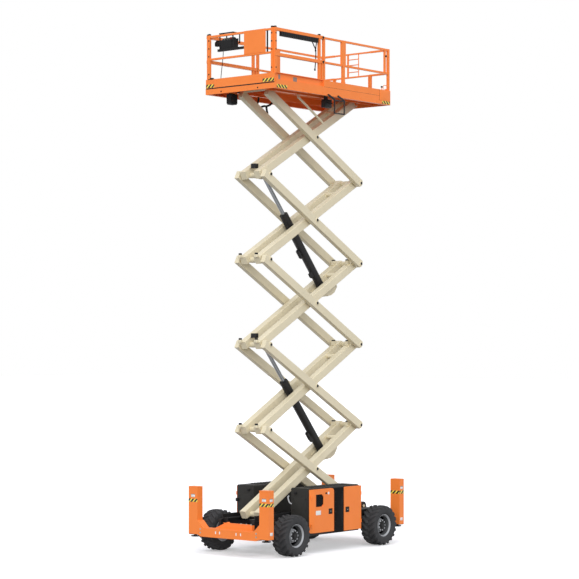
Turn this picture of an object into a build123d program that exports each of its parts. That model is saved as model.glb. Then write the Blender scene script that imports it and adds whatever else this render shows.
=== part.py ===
from build123d import *
from math import acos, asin, atan2, cos, degrees, sin, sqrt, tan
import os

os.makedirs("parts", exist_ok=True)

# ---------------------------------------------------------------- driving dimensions (mm)
# +X is the steered end, +Y the left side, +Z up; the ground is Z = 0.
TYRE_D, TYRE_W = 835, 355
AXLE_Z = TYRE_D / 2
WHEEL_X = {"front": 1431, "rear": -1452}
TYRE_Y = 970                    # centre of each tyre
END_X = 2225                    # outer faces of the jack beams

ARM_L = 3425                    # pin to pin along an arm
REAR_X = -1588                  # fixed rear pins
PIN_Z = 784                     # lowest row of pins
LEVEL_H = 1713.3                # height of one scissor level as it stands
LEVELS = 5
REST = asin(LEVEL_H / ARM_L)    # angle of the pin lines above the level
SPAN = ARM_L * cos(REST)
FRONT_X = REAR_X + SPAN
ARM_D, ARM_EDGE = 169, 14       # depth of an arm tube, radius of its long edges
OUTER_Y, OUTER_T = 345, 110     # outer arms: centre and thickness
INNER_Y, INNER_T = 187, 150     # inner arms: centre and thickness
LEAN = 65                       # how far an arm's axis passes from its front pin
NOSE, TOP_NOSE, TAIL = 150, 25, 45   # how far a tube reaches past its front and rear pins
TAIL_CUT = 36                   # cut corners of the tail
PIN_R, BOSS_R, TUBE_R = 30, 55, 60
PAD_HALF, JOURNAL_R = 28, 18    # top wear pads and the journals they turn on

BASE_S, BASE_N = 2455, 172      # cylinder's foot: along an inner arm and below it
EYE_S, EYE_N = -224, 115        # cylinder's eye: from the front pin, along and above an outer arm
BARREL_R, ROD_R = 90, 40
BARREL_L, HEAD_T = 2076, 50     # from the foot pin to the end of the barrel; its head
BORE_S, BORE_R = 100, 74        # start and radius of the bore
PISTON_S, PISTON_T = 1026, 40   # start and length of the piston as the lift stands

DECK_X = (-1930, 1868)
DECK_HALF = 920
TOP_Z = PIN_Z + LEVELS * LEVEL_H
SKIRT_Z = TOP_Z - 71            # bottom of the platform's skirt
DECK_Z = TOP_Z + 110            # top of the deck plate
TOE_Z = DECK_Z + 125            # top of the toe boards
RAIL_TOP, RAIL_MID = TOP_Z + 1100, TOP_Z + 602   # centres of the side and rear rails
FRONT_MID = TOP_Z + 640          # centre of the lower front rail
EXT_X = 330                     # rear end of the sliding deck


def save(builder, name):
    """Label one piece and write it to its own file."""
    builder.part.label = name
    export_step(builder.part, f"parts/{name}.step")


def block(x0, x1, y0, y1, z0, z1, mode=Mode.ADD):
    """Box between two corners."""
    with Locations(((x0 + x1) / 2, (y0 + y1) / 2, (z0 + z1) / 2)):
        Box(abs(x1 - x0), abs(y1 - y0), abs(z1 - z0), mode=mode)


def twin(x0, x1, y0, y1, z0, z1, mode=Mode.ADD):
    """The same box on the left and on the right."""
    block(x0, x1, y0, y1, z0, z1, mode)
    block(x0, x1, -y1, -y0, z0, z1, mode)


def bar_x(y, z, r, x0, x1, mode=Mode.ADD):
    """Round bar along X."""
    with Locations(((x0 + x1) / 2, y, z)):
        Cylinder(r, abs(x1 - x0), rotation=(0, 90, 0), mode=mode)


def bar_y(x, z, r, y0, y1, mode=Mode.ADD):
    """Round bar along Y."""
    with Locations((x, (y0 + y1) / 2, z)):
        Cylinder(r, abs(y1 - y0), rotation=(90, 0, 0), mode=mode)


def bar_z(x, y, r, z0, z1, mode=Mode.ADD):
    """Round bar along Z."""
    with Locations((x, y, (z0 + z1) / 2)):
        Cylinder(r, abs(z1 - z0), mode=mode)


def side_plane(x, z, angle, y):
    """Plane facing -Y through (x, y, z) whose X axis points at the angle above +X."""
    return Plane(origin=(x, y, z), x_dir=(cos(angle), 0, sin(angle)), z_dir=(0, -1, 0))


def front_pin(k):
    return FRONT_X, PIN_Z + k * LEVEL_H


def rear_pin(k):
    return REAR_X, PIN_Z + k * LEVEL_H


def mid_pin(k):
    return (FRONT_X + REAR_X) / 2, PIN_Z + (k - 0.5) * LEVEL_H


# ---------------------------------------------------------------- chassis
RAIL_Y = (415, 475)
RAIL_Z = (470, 700)
RAIL_END = 1975
TRACK_Z = PIN_Z - 53            # what the lower wear pads slide on
HOOD_X = (-790, 860)
HOOD_Y = (500, 948)
HOOD_Z = (362, 1312)
with BuildPart() as chassis_frame:
    twin(-RAIL_END, RAIL_END, *RAIL_Y, *RAIL_Z)
    for x in (-1915, -1000, 400, 1910):
        block(x - 60, x + 60, -RAIL_Y[0], RAIL_Y[0], RAIL_Z[0], RAIL_Z[0] + 110)
    twin(250, 1905, 285, RAIL_Y[0], TRACK_Z - 20, TRACK_Z)
    twin(250, 1905, RAIL_Y[0], RAIL_Y[0] + 20, RAIL_Z[1], TRACK_Z + 75)
    for x in (300, 830, 1360, 1880):
        twin(x - 8, x + 8, 300, RAIL_Y[0], TRACK_Z - 90, TRACK_Z - 20)
    for side in (-1, 1):
        with BuildSketch(side_plane(REAR_X, PIN_Z, 0, side * 445)) as cheek:
            Circle(90)
            with Locations((0, -60)):
                Trapezoid(300, 100, 60)
        extrude(cheek.sketch, amount=25, both=True)
        bar_y(REAR_X, PIN_Z, PIN_R + 2, side * 400, side * 480, Mode.SUBTRACT)
    for x in (-740, 0, 780):
        twin(x - 40, x + 40, RAIL_Y[1], HOOD_Y[0], 480, 620)
save(chassis_frame, "chassis_frame")

JACK_Y, JACK_W, JACK_D = 940, 240, 155
JACK_Z = (391, 1348)
LEG_HALF, LEG_GAP = 60, 3
BEAM_D = 180
SLOT_Y = (-332, -225, 213, 331)
for end, sign in (("front", 1), ("rear", -1)):
    xo = sign * END_X
    xi = sign * (END_X - JACK_D)
    xc = (xo + xi) / 2
    with BuildPart() as jack_beam:
        face = Plane(origin=(xo, 0, 0), x_dir=(0, 1, 0), z_dir=(1, 0, 0))
        with BuildSketch(face) as front_view:
            with BuildLine():
                side_line = [(0, 527), (665, 527), (815, 672), (830, 672), (830, JACK_Z[0]), (730, 351)]
                right = [(y, z) for y, z in side_line]
                left = [(-y, z) for y, z in reversed(side_line)]
                Polyline(right + left, close=True)
            make_face()
            with Locations([(y, 455) for y in SLOT_Y]):
                SlotOverall(62, 30, rotation=90, mode=Mode.SUBTRACT)
        extrude(front_view.sketch, amount=-sign * BEAM_D)
        twin(min(xo, xi), max(xo, xi), JACK_Y - JACK_W / 2, JACK_Y + JACK_W / 2, *JACK_Z)
        twin(xc - LEG_HALF - LEG_GAP, xc + LEG_HALF + LEG_GAP, JACK_Y - LEG_HALF - LEG_GAP,
             JACK_Y + LEG_HALF + LEG_GAP, JACK_Z[0] - 5, JACK_Z[1] - 18, Mode.SUBTRACT)
        step = Plane(origin=(sign * (END_X - BEAM_D), 0, 0), x_dir=(0, 1, 0), z_dir=(1, 0, 0))
        with BuildSketch(step) as mount:
            with BuildLine():
                if end == "front":
                    Polyline((-560, 500), (-180, 660), (-150, 628), (480, 628), (480, 470), (-480, 470),
                             (-560, 500))
                else:
                    Polyline((-480, 470), (-480, 600), (480, 600), (480, 470), (-480, 470))
            make_face()
        extrude(mount.sketch, amount=-sign * (END_X - BEAM_D - RAIL_END))
    save(jack_beam, f"{end}_jack_beam")
    for side, s in (("left", 1), ("right", -1)):
        with BuildPart() as jack_leg:
            block(xc - LEG_HALF, xc + LEG_HALF, s * JACK_Y - LEG_HALF, s * JACK_Y + LEG_HALF, 378, 1250)
            bar_z(xc, s * JACK_Y, 32, 356, 378)
            bar_z(xc, s * JACK_Y, 92, 336, 356)
            foot_edge = jack_leg.edges().filter_by(GeomType.CIRCLE).sort_by(Axis.Z)[0]
            chamfer(foot_edge, 8)
        save(jack_leg, f"{end}_{side}_jack_leg")

# ---------------------------------------------------------------- axles, knuckles and wheels
KING_Y, KING_R = 780, 22           # kingpins
STUB_R, STUB_END = 40, 965         # stub axles
DRUM_Y = (640, 777)                # rear hubs
xr, xf = WHEEL_X["rear"], WHEEL_X["front"]
with BuildPart() as rear_axle:
    block(xr - 75, xr + 75, -660, 660, AXLE_Z - 75, AXLE_Z + 52)
    bar_y(xr, AXLE_Z, 118, -110, 110)
    for side in (-1, 1):
        bar_y(xr, AXLE_Z, 105, side * DRUM_Y[0], side * DRUM_Y[1])
        bar_y(xr, AXLE_Z, STUB_R, side * DRUM_Y[1], side * STUB_END)
    block(xr - 130, xr + 130, -120, 120, AXLE_Z + 52, AXLE_Z + 125, Mode.SUBTRACT)
save(rear_axle, "rear_axle")

with BuildPart() as front_axle:
    with BuildSketch(Plane(origin=(xf - 70, 0, 0), x_dir=(0, 1, 0), z_dir=(1, 0, 0))) as beam:
        with BuildLine():
            Polyline((-660, AXLE_Z - 60), (-300, AXLE_Z - 60), (-180, AXLE_Z - 20), (180, AXLE_Z - 20),
                     (300, AXLE_Z - 60), (660, AXLE_Z - 60), (660, AXLE_Z + 52), (-660, AXLE_Z + 52),
                     (-660, AXLE_Z - 60))
        make_face()
    extrude(beam.sketch, amount=140)
    for z0 in (AXLE_Z - 105, AXLE_Z + 75):
        twin(xf - 50, xf + 50, 655, KING_Y, z0, z0 + 30)
        for side in (-1, 1):
            bar_z(xf, side * KING_Y, 50, z0, z0 + 30)
    twin(xf - 50, xf + 50, 625, 660, AXLE_Z - 105, AXLE_Z + 105)
    for side in (-1, 1):
        bar_z(xf, side * KING_Y, KING_R, AXLE_Z - 105, AXLE_Z + 105)
    bar_y(xf + 105, AXLE_Z - 10, 38, -260, 260)
    twin(xf + 60, xf + 115, 150, 190, AXLE_Z - 40, AXLE_Z + 20)
save(front_axle, "front_axle")

for side, s in (("left", 1), ("right", -1)):
    with BuildPart() as knuckle:
        bar_z(xf, s * KING_Y, 45, AXLE_Z - 70, AXLE_Z + 70)
        bar_y(xf, AXLE_Z, STUB_R, s * (KING_Y + 20), s * STUB_END)
        bar_z(xf, s * KING_Y, KING_R + 2, AXLE_Z - 80, AXLE_Z + 80, Mode.SUBTRACT)
    save(knuckle, f"{side}_knuckle")

# Radius and outward offset from the middle of the tyre, around the section of a rim.
RIM_SECTION = [
    (42, -35), (42, 60), (90, 60), (90, 84), (118, 84), (126, 44), (152, 26), (180, 22), (194, 38),
    (198, 88), (222, 140), (232, 140), (232, 130), (214, 122), (206, 90), (206, -122), (232, -130),
    (232, -140), (196, -140), (196, 6), (178, 2), (150, 6), (112, 26), (90, 30), (90, -35), (42, -35),
]
BEAD_R, SHOULDER = 233, 34
TYRE_SECTION = [
    (BEAD_R, -TYRE_W / 2 + 24), (290, -TYRE_W / 2), (372, -TYRE_W / 2 + 3),
    (TYRE_D / 2, -TYRE_W / 2 + SHOULDER), (TYRE_D / 2, TYRE_W / 2 - SHOULDER),
    (372, TYRE_W / 2 - 3), (290, TYRE_W / 2), (BEAD_R, TYRE_W / 2 - 24), (BEAD_R, -TYRE_W / 2 + 24),
]
for end in ("front", "rear"):
    for side, s in (("left", 1), ("right", -1)):
        x, yc = WHEEL_X[end], s * TYRE_Y
        hub_plane = Plane(origin=(x, yc, AXLE_Z), x_dir=(1, 0, 0), z_dir=(0, 0, 1))
        spin = Axis((x, yc, AXLE_Z), (0, 1, 0))
        for piece, section in (("rim", RIM_SECTION), ("tyre", TYRE_SECTION)):
            with BuildPart() as wheel_part:
                with BuildSketch(hub_plane):
                    with BuildLine():
                        Polyline([(r, s * y) for r, y in section])
                    make_face()
                revolve(axis=spin)
            save(wheel_part, f"{end}_{side}_{piece}")

# ---------------------------------------------------------------- hoods, doors and what they hold
DOOR_Y, DOOR_T = 960, 40         # inner face and thickness of a door
WALL = 25
PILLAR_X = (-236, 84)            # dark panel between the doors
BAY_Z = (HOOD_Z[0] + 120, HOOD_Z[1] - 50)
HINGE_R, HINGE_OUT = 7, 1006      # hinge knuckles and how far out they stand
DOORS = (                        # name, hinge end, free end, bottom, bent length, hinge X
    ("front", 850, 92, 412, 126, 820),
    ("rear", -814, -244, 392, 0, -808),
)
WINDOW_AT = (554.5, 1058.5)      # middle of the window in a front door
for side, s in (("left", 1), ("right", -1)):
    with BuildPart() as hood:
        ya, yb = sorted((s * HOOD_Y[0], s * HOOD_Y[1]))
        block(*HOOD_X, ya, yb, *HOOD_Z)
        top_edges = hood.edges().filter_by(Axis.X).group_by(Axis.Z)[-1]
        chamfer(top_edges, 22)
        yp, yq = sorted((s * (HOOD_Y[1] - 4), s * (DOOR_Y + DOOR_T - 8)))
        block(*PILLAR_X, yp, yq, HOOD_Z[0] + 18, HOOD_Z[1] - 22)
        for x0, x1 in ((HOOD_X[0] + WALL, PILLAR_X[0]), (PILLAR_X[1], HOOD_X[1] - WALL)):
            y0, y1 = sorted((s * (HOOD_Y[0] + WALL), s * (HOOD_Y[1] + 2)))
            block(x0, x1, y0, y1, *BAY_Z, Mode.SUBTRACT)
    save(hood, f"{side}_hood")
    for name, x_hinge, x_free, z0, bend, pin_x in DOORS:
        z1 = HOOD_Z[1] - 24
        y0, y1 = DOOR_Y, DOOR_Y + DOOR_T
        away = 1 if x_hinge > x_free else -1
        with BuildPart() as door:
            with BuildSketch(Plane.XY.offset(z0)) as plan:
                with BuildLine():
                    if bend:
                        Polyline([(x, s * y) for x, y in (
                            (x_free, y0), (x_hinge, y0), (x_hinge, y1 - 30), (x_hinge - bend, y1),
                            (x_free, y1), (x_free, y0))])
                    else:
                        Polyline([(x, s * y) for x, y in (
                            (x_free, y0), (x_hinge, y0), (x_hinge, y1), (x_free, y1), (x_free, y0))])
                make_face()
            extrude(plan.sketch, amount=z1 - z0)
            corner = door.edges().filter_by(Axis.Y)
            upper = corner.group_by(Axis.Z)[-1].sort_by(Axis.X)[0 if away > 0 else -1]
            fillet(upper, 70)
            if bend:
                lower = door.edges().filter_by(Axis.Y).group_by(Axis.Z)[0].sort_by(Axis.X)[-1]
                chamfer(lower, 30, 18)
                window = side_plane(*WINDOW_AT, 0, s * (y1 + 1))
                with BuildSketch(window) as pane:
                    Rectangle(243, 249)
                    rear_low = pane.vertices().sort_by(Axis.Z)[:2].sort_by(Axis.X)[0]
                    chamfer(rear_low, 55)
                extrude(pane.sketch, amount=17, both=True, mode=Mode.SUBTRACT)
            latch_x = x_free + away * 110
            y_in, y_out = sorted((s * (y1 - 16), s * (y1 + 2)))
            block(latch_x - 66, latch_x + 66, y_in, y_out, 762, 878, Mode.SUBTRACT)
            for z in (560, 1130):
                bar_z(pin_x, s * HINGE_OUT, HINGE_R, z - 35, z + 35)
                y_in, y_out = sorted((s * (y1 - 30), s * HINGE_OUT))
                block(pin_x - HINGE_R, pin_x + HINGE_R, y_in, y_out, z - 35, z + 35)
        save(door, f"{side}_{name}_door")

with BuildPart() as engine:
    block(140, 740, 540, 900, 530, 1100)
save(engine, "engine")
with BuildPart() as tank:
    block(-720, -280, -900, -540, 530, 1000)
save(tank, "fluid_tank")

# ---------------------------------------------------------------- scissor frames
OUTER_IN, OUTER_OUT = OUTER_Y - OUTER_T / 2, OUTER_Y + OUTER_T / 2
INNER_IN, INNER_OUT = INNER_Y - INNER_T / 2, INNER_Y + INNER_T / 2
TUBE_END = INNER_IN - 3          # cross tubes stop this far from the middle
CAP_R, CAP_T = 37, 12
BRACE_S, BRACE_N, BRACE_R = 2860, 40, 44   # inner frames' second cross tube, from the front pin
FOOT_R, GUSSET_L, GUSSET_T = 56, 520, 14   # gussets that carry the cylinder's foot


def arms(front, rear, lean, yc, thick, nose):
    """A left and a right arm: a rounded tube with a boss round its front pin.

    The tube's axis runs from the rear pin to a point that lies lean above the front pin.
    """
    (fx, fz), (rx, rz) = front, rear
    angle = atan2(fz - rz, fx - rx) + asin(lean / ARM_L)
    reach = sqrt(ARM_L ** 2 - lean ** 2)
    for side in (-1, 1):
        along = Plane(origin=(rx, side * yc, rz), x_dir=(0, 1, 0), z_dir=(cos(angle), 0, sin(angle)))
        with BuildSketch(along.offset(-TAIL)) as section:
            RectangleRounded(thick, ARM_D, ARM_EDGE)
        extrude(section.sketch, amount=TAIL + reach + nose)
        with BuildSketch(side_plane(rx, rz, angle, side * yc)) as corners:
            for up in (-1, 1):
                with BuildLine():
                    Polyline((-TAIL - 1, up * (ARM_D / 2 - TAIL_CUT)), (-TAIL - 1, up * (ARM_D / 2 + 1)),
                             (-TAIL + TAIL_CUT, up * (ARM_D / 2 + 1)),
                             (-TAIL - 1, up * (ARM_D / 2 - TAIL_CUT)))
                make_face()
        extrude(corners.sketch, amount=thick, both=True, mode=Mode.SUBTRACT)
        with BuildSketch(side_plane(rx, rz, angle, side * yc)) as boss:
            with Locations((reach, -lean)):
                Circle(BOSS_R)
            with Locations((reach + nose + BOSS_R, 0)):
                Rectangle(2 * BOSS_R, 4 * BOSS_R, mode=Mode.SUBTRACT)
        extrude(boss.sketch, amount=thick / 2, both=True)


for k in range(1, LEVELS + 1):
    fx, fz = front_pin(k)
    rx, rz = rear_pin(k - 1)
    cx, cz = mid_pin(k)
    top = k == LEVELS
    with BuildPart() as outer_frame:
        arms((fx, fz), (rx, rz), -LEAN, OUTER_Y, OUTER_T, TOP_NOSE if top else NOSE)
        for side in (-1, 1):
            bar_y(cx, cz, PIN_R, side * (INNER_IN - 8), side * OUTER_OUT)
            bar_y(cx, cz, CAP_R, side * OUTER_OUT, side * (OUTER_OUT + CAP_T))
            if k > 1:
                bar_y(rx, rz, CAP_R, side * OUTER_OUT, side * (OUTER_OUT + CAP_T))
            if not top:
                bar_y(fx, fz, CAP_R, side * OUTER_OUT, side * (OUTER_OUT + CAP_T))
        bar_y(fx, fz, PIN_R, -OUTER_OUT, OUTER_OUT)
        if not top:
            bar_y(fx, fz, TUBE_R, -TUBE_END, TUBE_END)
        rear_reach = 480 if k == 1 else OUTER_OUT
        bar_y(rx, rz, PIN_R, -rear_reach, rear_reach)
        bar_y(rx, rz, TUBE_R, -TUBE_END, TUBE_END)
        if top:
            bar_y(fx, fz, JOURNAL_R, -458, 458)
        if k in (2, 4):
            ex = fx + EYE_S * cos(REST) - EYE_N * sin(REST)
            ez = fz + EYE_S * sin(REST) + EYE_N * cos(REST)
            for side in (-1, 1):
                with BuildSketch(side_plane((fx + ex) / 2, (fz + ez) / 2, atan2(ez - fz, ex - fx),
                                            side * 58)) as lug:
                    SlotCenterToCenter(sqrt(EYE_S ** 2 + EYE_N ** 2), 110)
                extrude(lug.sketch, amount=10, both=True)
    save(outer_frame, f"outer_frame_{k}")

    fx, fz = front_pin(k - 1)
    rx, rz = rear_pin(k)
    with BuildPart() as inner_frame:
        arms((fx, fz), (rx, rz), LEAN, INNER_Y, INNER_T, NOSE)
        bar_y(fx - BRACE_S * cos(REST) + BRACE_N * sin(REST), fz + BRACE_S * sin(REST) + BRACE_N * cos(REST),
              BRACE_R, -INNER_IN - 5, INNER_IN + 5)
        bored = [mid_pin(k)] + [front_pin(k - 1)] * (k > 1) + [rear_pin(k)] * (not top)
        for side in (-1, 1):
            for px, pz in bored:
                bar_y(px, pz, PIN_R + 2, side * (INNER_IN - 2), side * (INNER_OUT + 2), Mode.SUBTRACT)
        if k in (1, 3):
            bx = fx - BASE_S * cos(REST) - BASE_N * sin(REST)
            bz = fz + BASE_S * sin(REST) - BASE_N * cos(REST)
            for side in (-1, 1):
                web = side_plane(bx, bz, -REST, side * (INNER_IN - GUSSET_T / 2))
                with BuildSketch(web) as gusset:
                    Circle(FOOT_R)
                    with Locations((0, BASE_N)):
                        Rectangle(GUSSET_L, 2)
                    make_hull()
                extrude(gusset.sketch, amount=GUSSET_T / 2, both=True)
            bar_y(bx, bz, PIN_R, -INNER_IN, INNER_IN)
        if k == 1:
            bar_y(fx, fz, PIN_R, -402, 402)
            bar_y(fx, fz, TUBE_R, -TUBE_END, TUBE_END)
        if top:
            bar_y(rx, rz, PIN_R, -300, 300)
            bar_y(rx, rz, TUBE_R, -TUBE_END, TUBE_END)
    save(inner_frame, f"inner_frame_{k}")

LOWER_PAD = 50
with BuildPart() as lower_pads:
    px, pz = front_pin(0)
    twin(px - LOWER_PAD, px + LOWER_PAD, 290, 400, pz - LOWER_PAD, pz + LOWER_PAD)
    bar_y(px, pz, PIN_R + 2, -410, 410, Mode.SUBTRACT)
save(lower_pads, "lower_pads")
with BuildPart() as upper_pads:
    px, pz = front_pin(LEVELS)
    twin(px - PAD_HALF, px + PAD_HALF, 412, 455, pz - PAD_HALF, pz + PAD_HALF)
    bar_y(px, pz, JOURNAL_R + 2, -460, 460, Mode.SUBTRACT)
save(upper_pads, "upper_pads")

# ---------------------------------------------------------------- lift cylinders
for number, k in (("lower", 1), ("upper", 3)):
    fx, fz = front_pin(k - 1)
    bx = fx - BASE_S * cos(REST) - BASE_N * sin(REST)
    bz = fz + BASE_S * sin(REST) - BASE_N * cos(REST)
    tx, tz = front_pin(k + 1)
    ex = tx + EYE_S * cos(REST) - EYE_N * sin(REST)
    ez = tz + EYE_S * sin(REST) + EYE_N * cos(REST)
    angle = atan2(ez - bz, ex - bx)
    length = sqrt((ex - bx) ** 2 + (ez - bz) ** 2)
    foot = Plane(origin=(bx, 0, bz), x_dir=(0, 1, 0), z_dir=(cos(angle), 0, sin(angle)))
    valve = Plane(origin=(bx, 0, bz), x_dir=(cos(angle), 0, sin(angle)), z_dir=(0, -1, 0))
    with BuildPart() as barrel:
        for start, end, radius in ((50, BARREL_L, BARREL_R - 4), (1780, BARREL_L, BARREL_R)):
            with BuildSketch(foot.offset(start)):
                Circle(radius)
            extrude(amount=end - start)
        with BuildSketch(valve) as valve_side:
            with BuildLine():
                Polyline((520, -60), (520, -150), (560, -168), (640, -168), (640, -60), (520, -60))
            make_face()
        extrude(valve_side.sketch, amount=40, both=True)
        bar_y(bx, bz, 66, -88, 88)
        bar_y(bx, bz, PIN_R + 2, -98, 98, Mode.SUBTRACT)
        with BuildSketch(foot.offset(BORE_S)):
            Circle(BORE_R)
        extrude(amount=BARREL_L - HEAD_T - BORE_S, mode=Mode.SUBTRACT)
        with BuildSketch(foot.offset(BARREL_L - HEAD_T - 10)):
            Circle(ROD_R + 1)
        extrude(amount=HEAD_T + 20, mode=Mode.SUBTRACT)
    save(barrel, f"{number}_cylinder_barrel")
    with BuildPart() as rod:
        with BuildSketch(foot.offset(PISTON_S)):
            Circle(BORE_R - 1)
        extrude(amount=PISTON_T)
        with BuildSketch(foot.offset(PISTON_S)):
            Circle(ROD_R)
        extrude(amount=length - PISTON_S)
        bar_y(ex, ez, 55, -42, 42)
    save(rod, f"{number}_cylinder_rod")
    print(number, "cylinder", round(length), "mm at", round(degrees(angle), 1), "deg; foot",
          round(bx, 2), round(bz, 2))

# ---------------------------------------------------------------- platform
XR, XF = DECK_X
LEDGE_X = XF - 25                # the deck plate ends here, behind the sliding deck's front plate
TRACK_Y = (408, 460, 472)        # lips and web of the channels that the top pads run in
SKIRT_T, LIP_T = 12, 10          # side walls of the skirt, lips of the tracks
LIP_Z = (TOP_Z - PAD_HALF - 3, TOP_Z + PAD_HALF + 3)
STEP_DOWN = DECK_Z - 56          # the front wall ends here, under the sliding deck's front plate
RIB_Z = DECK_Z - 50              # bottom of the ribs under the deck plate
with BuildPart() as platform_deck:
    block(XR + SKIRT_T, LEDGE_X - SKIRT_T, -DECK_HALF + SKIRT_T, DECK_HALF - SKIRT_T, DECK_Z - 20, DECK_Z)
    for x in (-1400, -800, -200, 400, 1000, 1600):
        twin(x - 25, x + 25, TRACK_Y[2], DECK_HALF - SKIRT_T, RIB_Z, DECK_Z - 20)
    for x in (-1000, -200, 600, 1400):
        block(x - 25, x + 25, -TRACK_Y[1], TRACK_Y[1], DECK_Z - 40, DECK_Z - 20)
save(platform_deck, "platform_deck")

with BuildPart() as platform_skirt:
    inner = DECK_HALF - SKIRT_T
    twin(XR, XF, inner, DECK_HALF, SKIRT_Z, STEP_DOWN)
    twin(XR, LEDGE_X, inner, DECK_HALF, STEP_DOWN - 4, DECK_Z)
    twin(XR, EXT_X - 10, inner, DECK_HALF, DECK_Z, TOE_Z)
    twin(XR, XF, DECK_HALF - 60, DECK_HALF, SKIRT_Z, SKIRT_Z + 10)
    block(XR, XR + SKIRT_T, -DECK_HALF, DECK_HALF, SKIRT_Z, DECK_Z)
    block(XF - 10, XF, -DECK_HALF, DECK_HALF, SKIRT_Z, STEP_DOWN)
    twin(LEDGE_X - SKIRT_T, XF, TRACK_Y[0], DECK_HALF, STEP_DOWN - 12, STEP_DOWN)
    twin(LEDGE_X - SKIRT_T, LEDGE_X, TRACK_Y[0], DECK_HALF, STEP_DOWN - 12, DECK_Z)
    block(LEDGE_X - SKIRT_T, LEDGE_X, -TRACK_Y[0], TRACK_Y[0], DECK_Z - 48, DECK_Z)
save(platform_skirt, "platform_skirt")

for side, s in (("left", 1), ("right", -1)):
    with BuildPart() as deck_track:
        for x1, z1 in ((LEDGE_X - SKIRT_T, DECK_Z - 20), (XF - 10, STEP_DOWN - 12)):
            y0, y1 = sorted((s * TRACK_Y[1], s * TRACK_Y[2]))
            block(XR + SKIRT_T, x1, y0, y1, LIP_Z[0] - 12, z1)
        y0, y1 = sorted((s * TRACK_Y[0], s * TRACK_Y[1]))
        block(270, XF - 10, y0, y1, LIP_Z[0] - 12, LIP_Z[0])
        block(270, LEDGE_X - SKIRT_T, y0, y1, LIP_Z[1], LIP_Z[1] + LIP_T)
    save(deck_track, f"{side}_deck_track")

rx, rz = rear_pin(LEVELS)
with BuildPart() as rear_hanger:
    block(rx - 122, rx - 104, -290, 290, DECK_Z - 50, DECK_Z - 20)
    for side in (-1, 1):
        with BuildSketch(side_plane(rx, rz, 0, side * 280)) as hanger:
            Circle(62)
            with Locations((0, 45)):
                Rectangle(124, 90)
            with Locations((-92, 65)):
                Rectangle(60, 50)
        extrude(hanger.sketch, amount=10, both=True)
    bar_y(rx, rz, PIN_R + 2, -310, 310, Mode.SUBTRACT)
save(rear_hanger, "rear_hanger")

TUBE = 20                        # half the size of the fixed rail tubes
POST = 25                        # half the size of a post
SIDE_Y = DECK_HALF - 37
MAIN_X, MID_X, CORNER_X = 287, -356, -1850
SLEEVE, SLEEVE_BORE = 31, 25     # half sizes of the sliding rails, outside and inside
GATE_Y = (-545, 392)
SILL = 50                        # threshold under the gate
with BuildPart() as fixed_rails:
    for side in (-1, 1):
        y = side * SIDE_Y
        for z in (RAIL_TOP, RAIL_MID):
            block(XR + 12, 1700, y - TUBE, y + TUBE, z - TUBE, z + TUBE)
        for x in (MAIN_X, CORNER_X - 50):
            block(x - POST, x + POST, y - POST, y + POST, DECK_Z, RAIL_TOP + TUBE)
        block(CORNER_X + 50, CORNER_X + 90, y - TUBE, y + TUBE, RAIL_MID, RAIL_TOP)
        block(MID_X - 35, MID_X + 35, y - POST, y + POST, DECK_Z, RAIL_MID)
        block(MID_X - 62, MID_X + 62, y - POST, y + POST, RAIL_MID, RAIL_TOP + TUBE)
        for x in (MID_X, CORNER_X):
            block(x - 60, x + 60, y - 12, y + 16, TOE_Z + 1, TOE_Z + 30)
    x0, x1 = XR + 12, XR + 12 + 2 * TUBE
    for y0, y1 in ((-SIDE_Y, GATE_Y[0] - 12), (GATE_Y[1] + 12, SIDE_Y)):
        for z in (RAIL_TOP, RAIL_MID):
            block(x0, x1, y0, y1, z - TUBE, z + TUBE)
        block(x0, x0 + 12, y0, y1, DECK_Z, TOE_Z)
    block(x0, x0 + 12, -SIDE_Y, SIDE_Y, DECK_Z, DECK_Z + SILL)
    for y in (GATE_Y[0] - 32, GATE_Y[1] + 32):
        block(x0, x1, y - TUBE, y + TUBE, DECK_Z, RAIL_MID + TUBE)
    for z in (TOE_Z + 20, RAIL_MID - 60):
        block(x0 + 10, x1 - 10, GATE_Y[0] - 32, GATE_Y[0] + 14, z - 8, z + 8)
        bar_z((x0 + x1) / 2, GATE_Y[0] + 14, 8, z - 8, z + 34)
save(fixed_rails, "fixed_rails")

with BuildPart() as gate:
    xc = XR + 12 + TUBE
    for z in (RAIL_TOP, RAIL_MID):
        block(xc - 16, xc + 16, GATE_Y[0], GATE_Y[1], z - 16, z + 16)
    block(xc - 14, xc + 14, -206, -174, RAIL_MID, RAIL_TOP)
    bar_z(xc, GATE_Y[0] + 14, 16, TOE_Z + 40, RAIL_MID)
    block(xc - 14, xc + 14, GATE_Y[1] - 30, GATE_Y[1] - 2, TOE_Z + 40, RAIL_MID)
    block(xc - 10, xc + 10, GATE_Y[0] + 14, GATE_Y[1] - 2, TOE_Z + 40, TOE_Z + 68)
    for z in (TOE_Z + 20, RAIL_MID - 60):
        block(xc - 30, xc + 30, GATE_Y[0] - 60, GATE_Y[0] + 14, z - 14, z + 14, Mode.SUBTRACT)
        bar_z(xc, GATE_Y[0] + 14, 10, z - 8, z + 40, Mode.SUBTRACT)
        bar_z(xc, GATE_Y[0] + 14, 24, z - 14, z + 14, Mode.SUBTRACT)
save(gate, "entry_gate")

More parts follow.
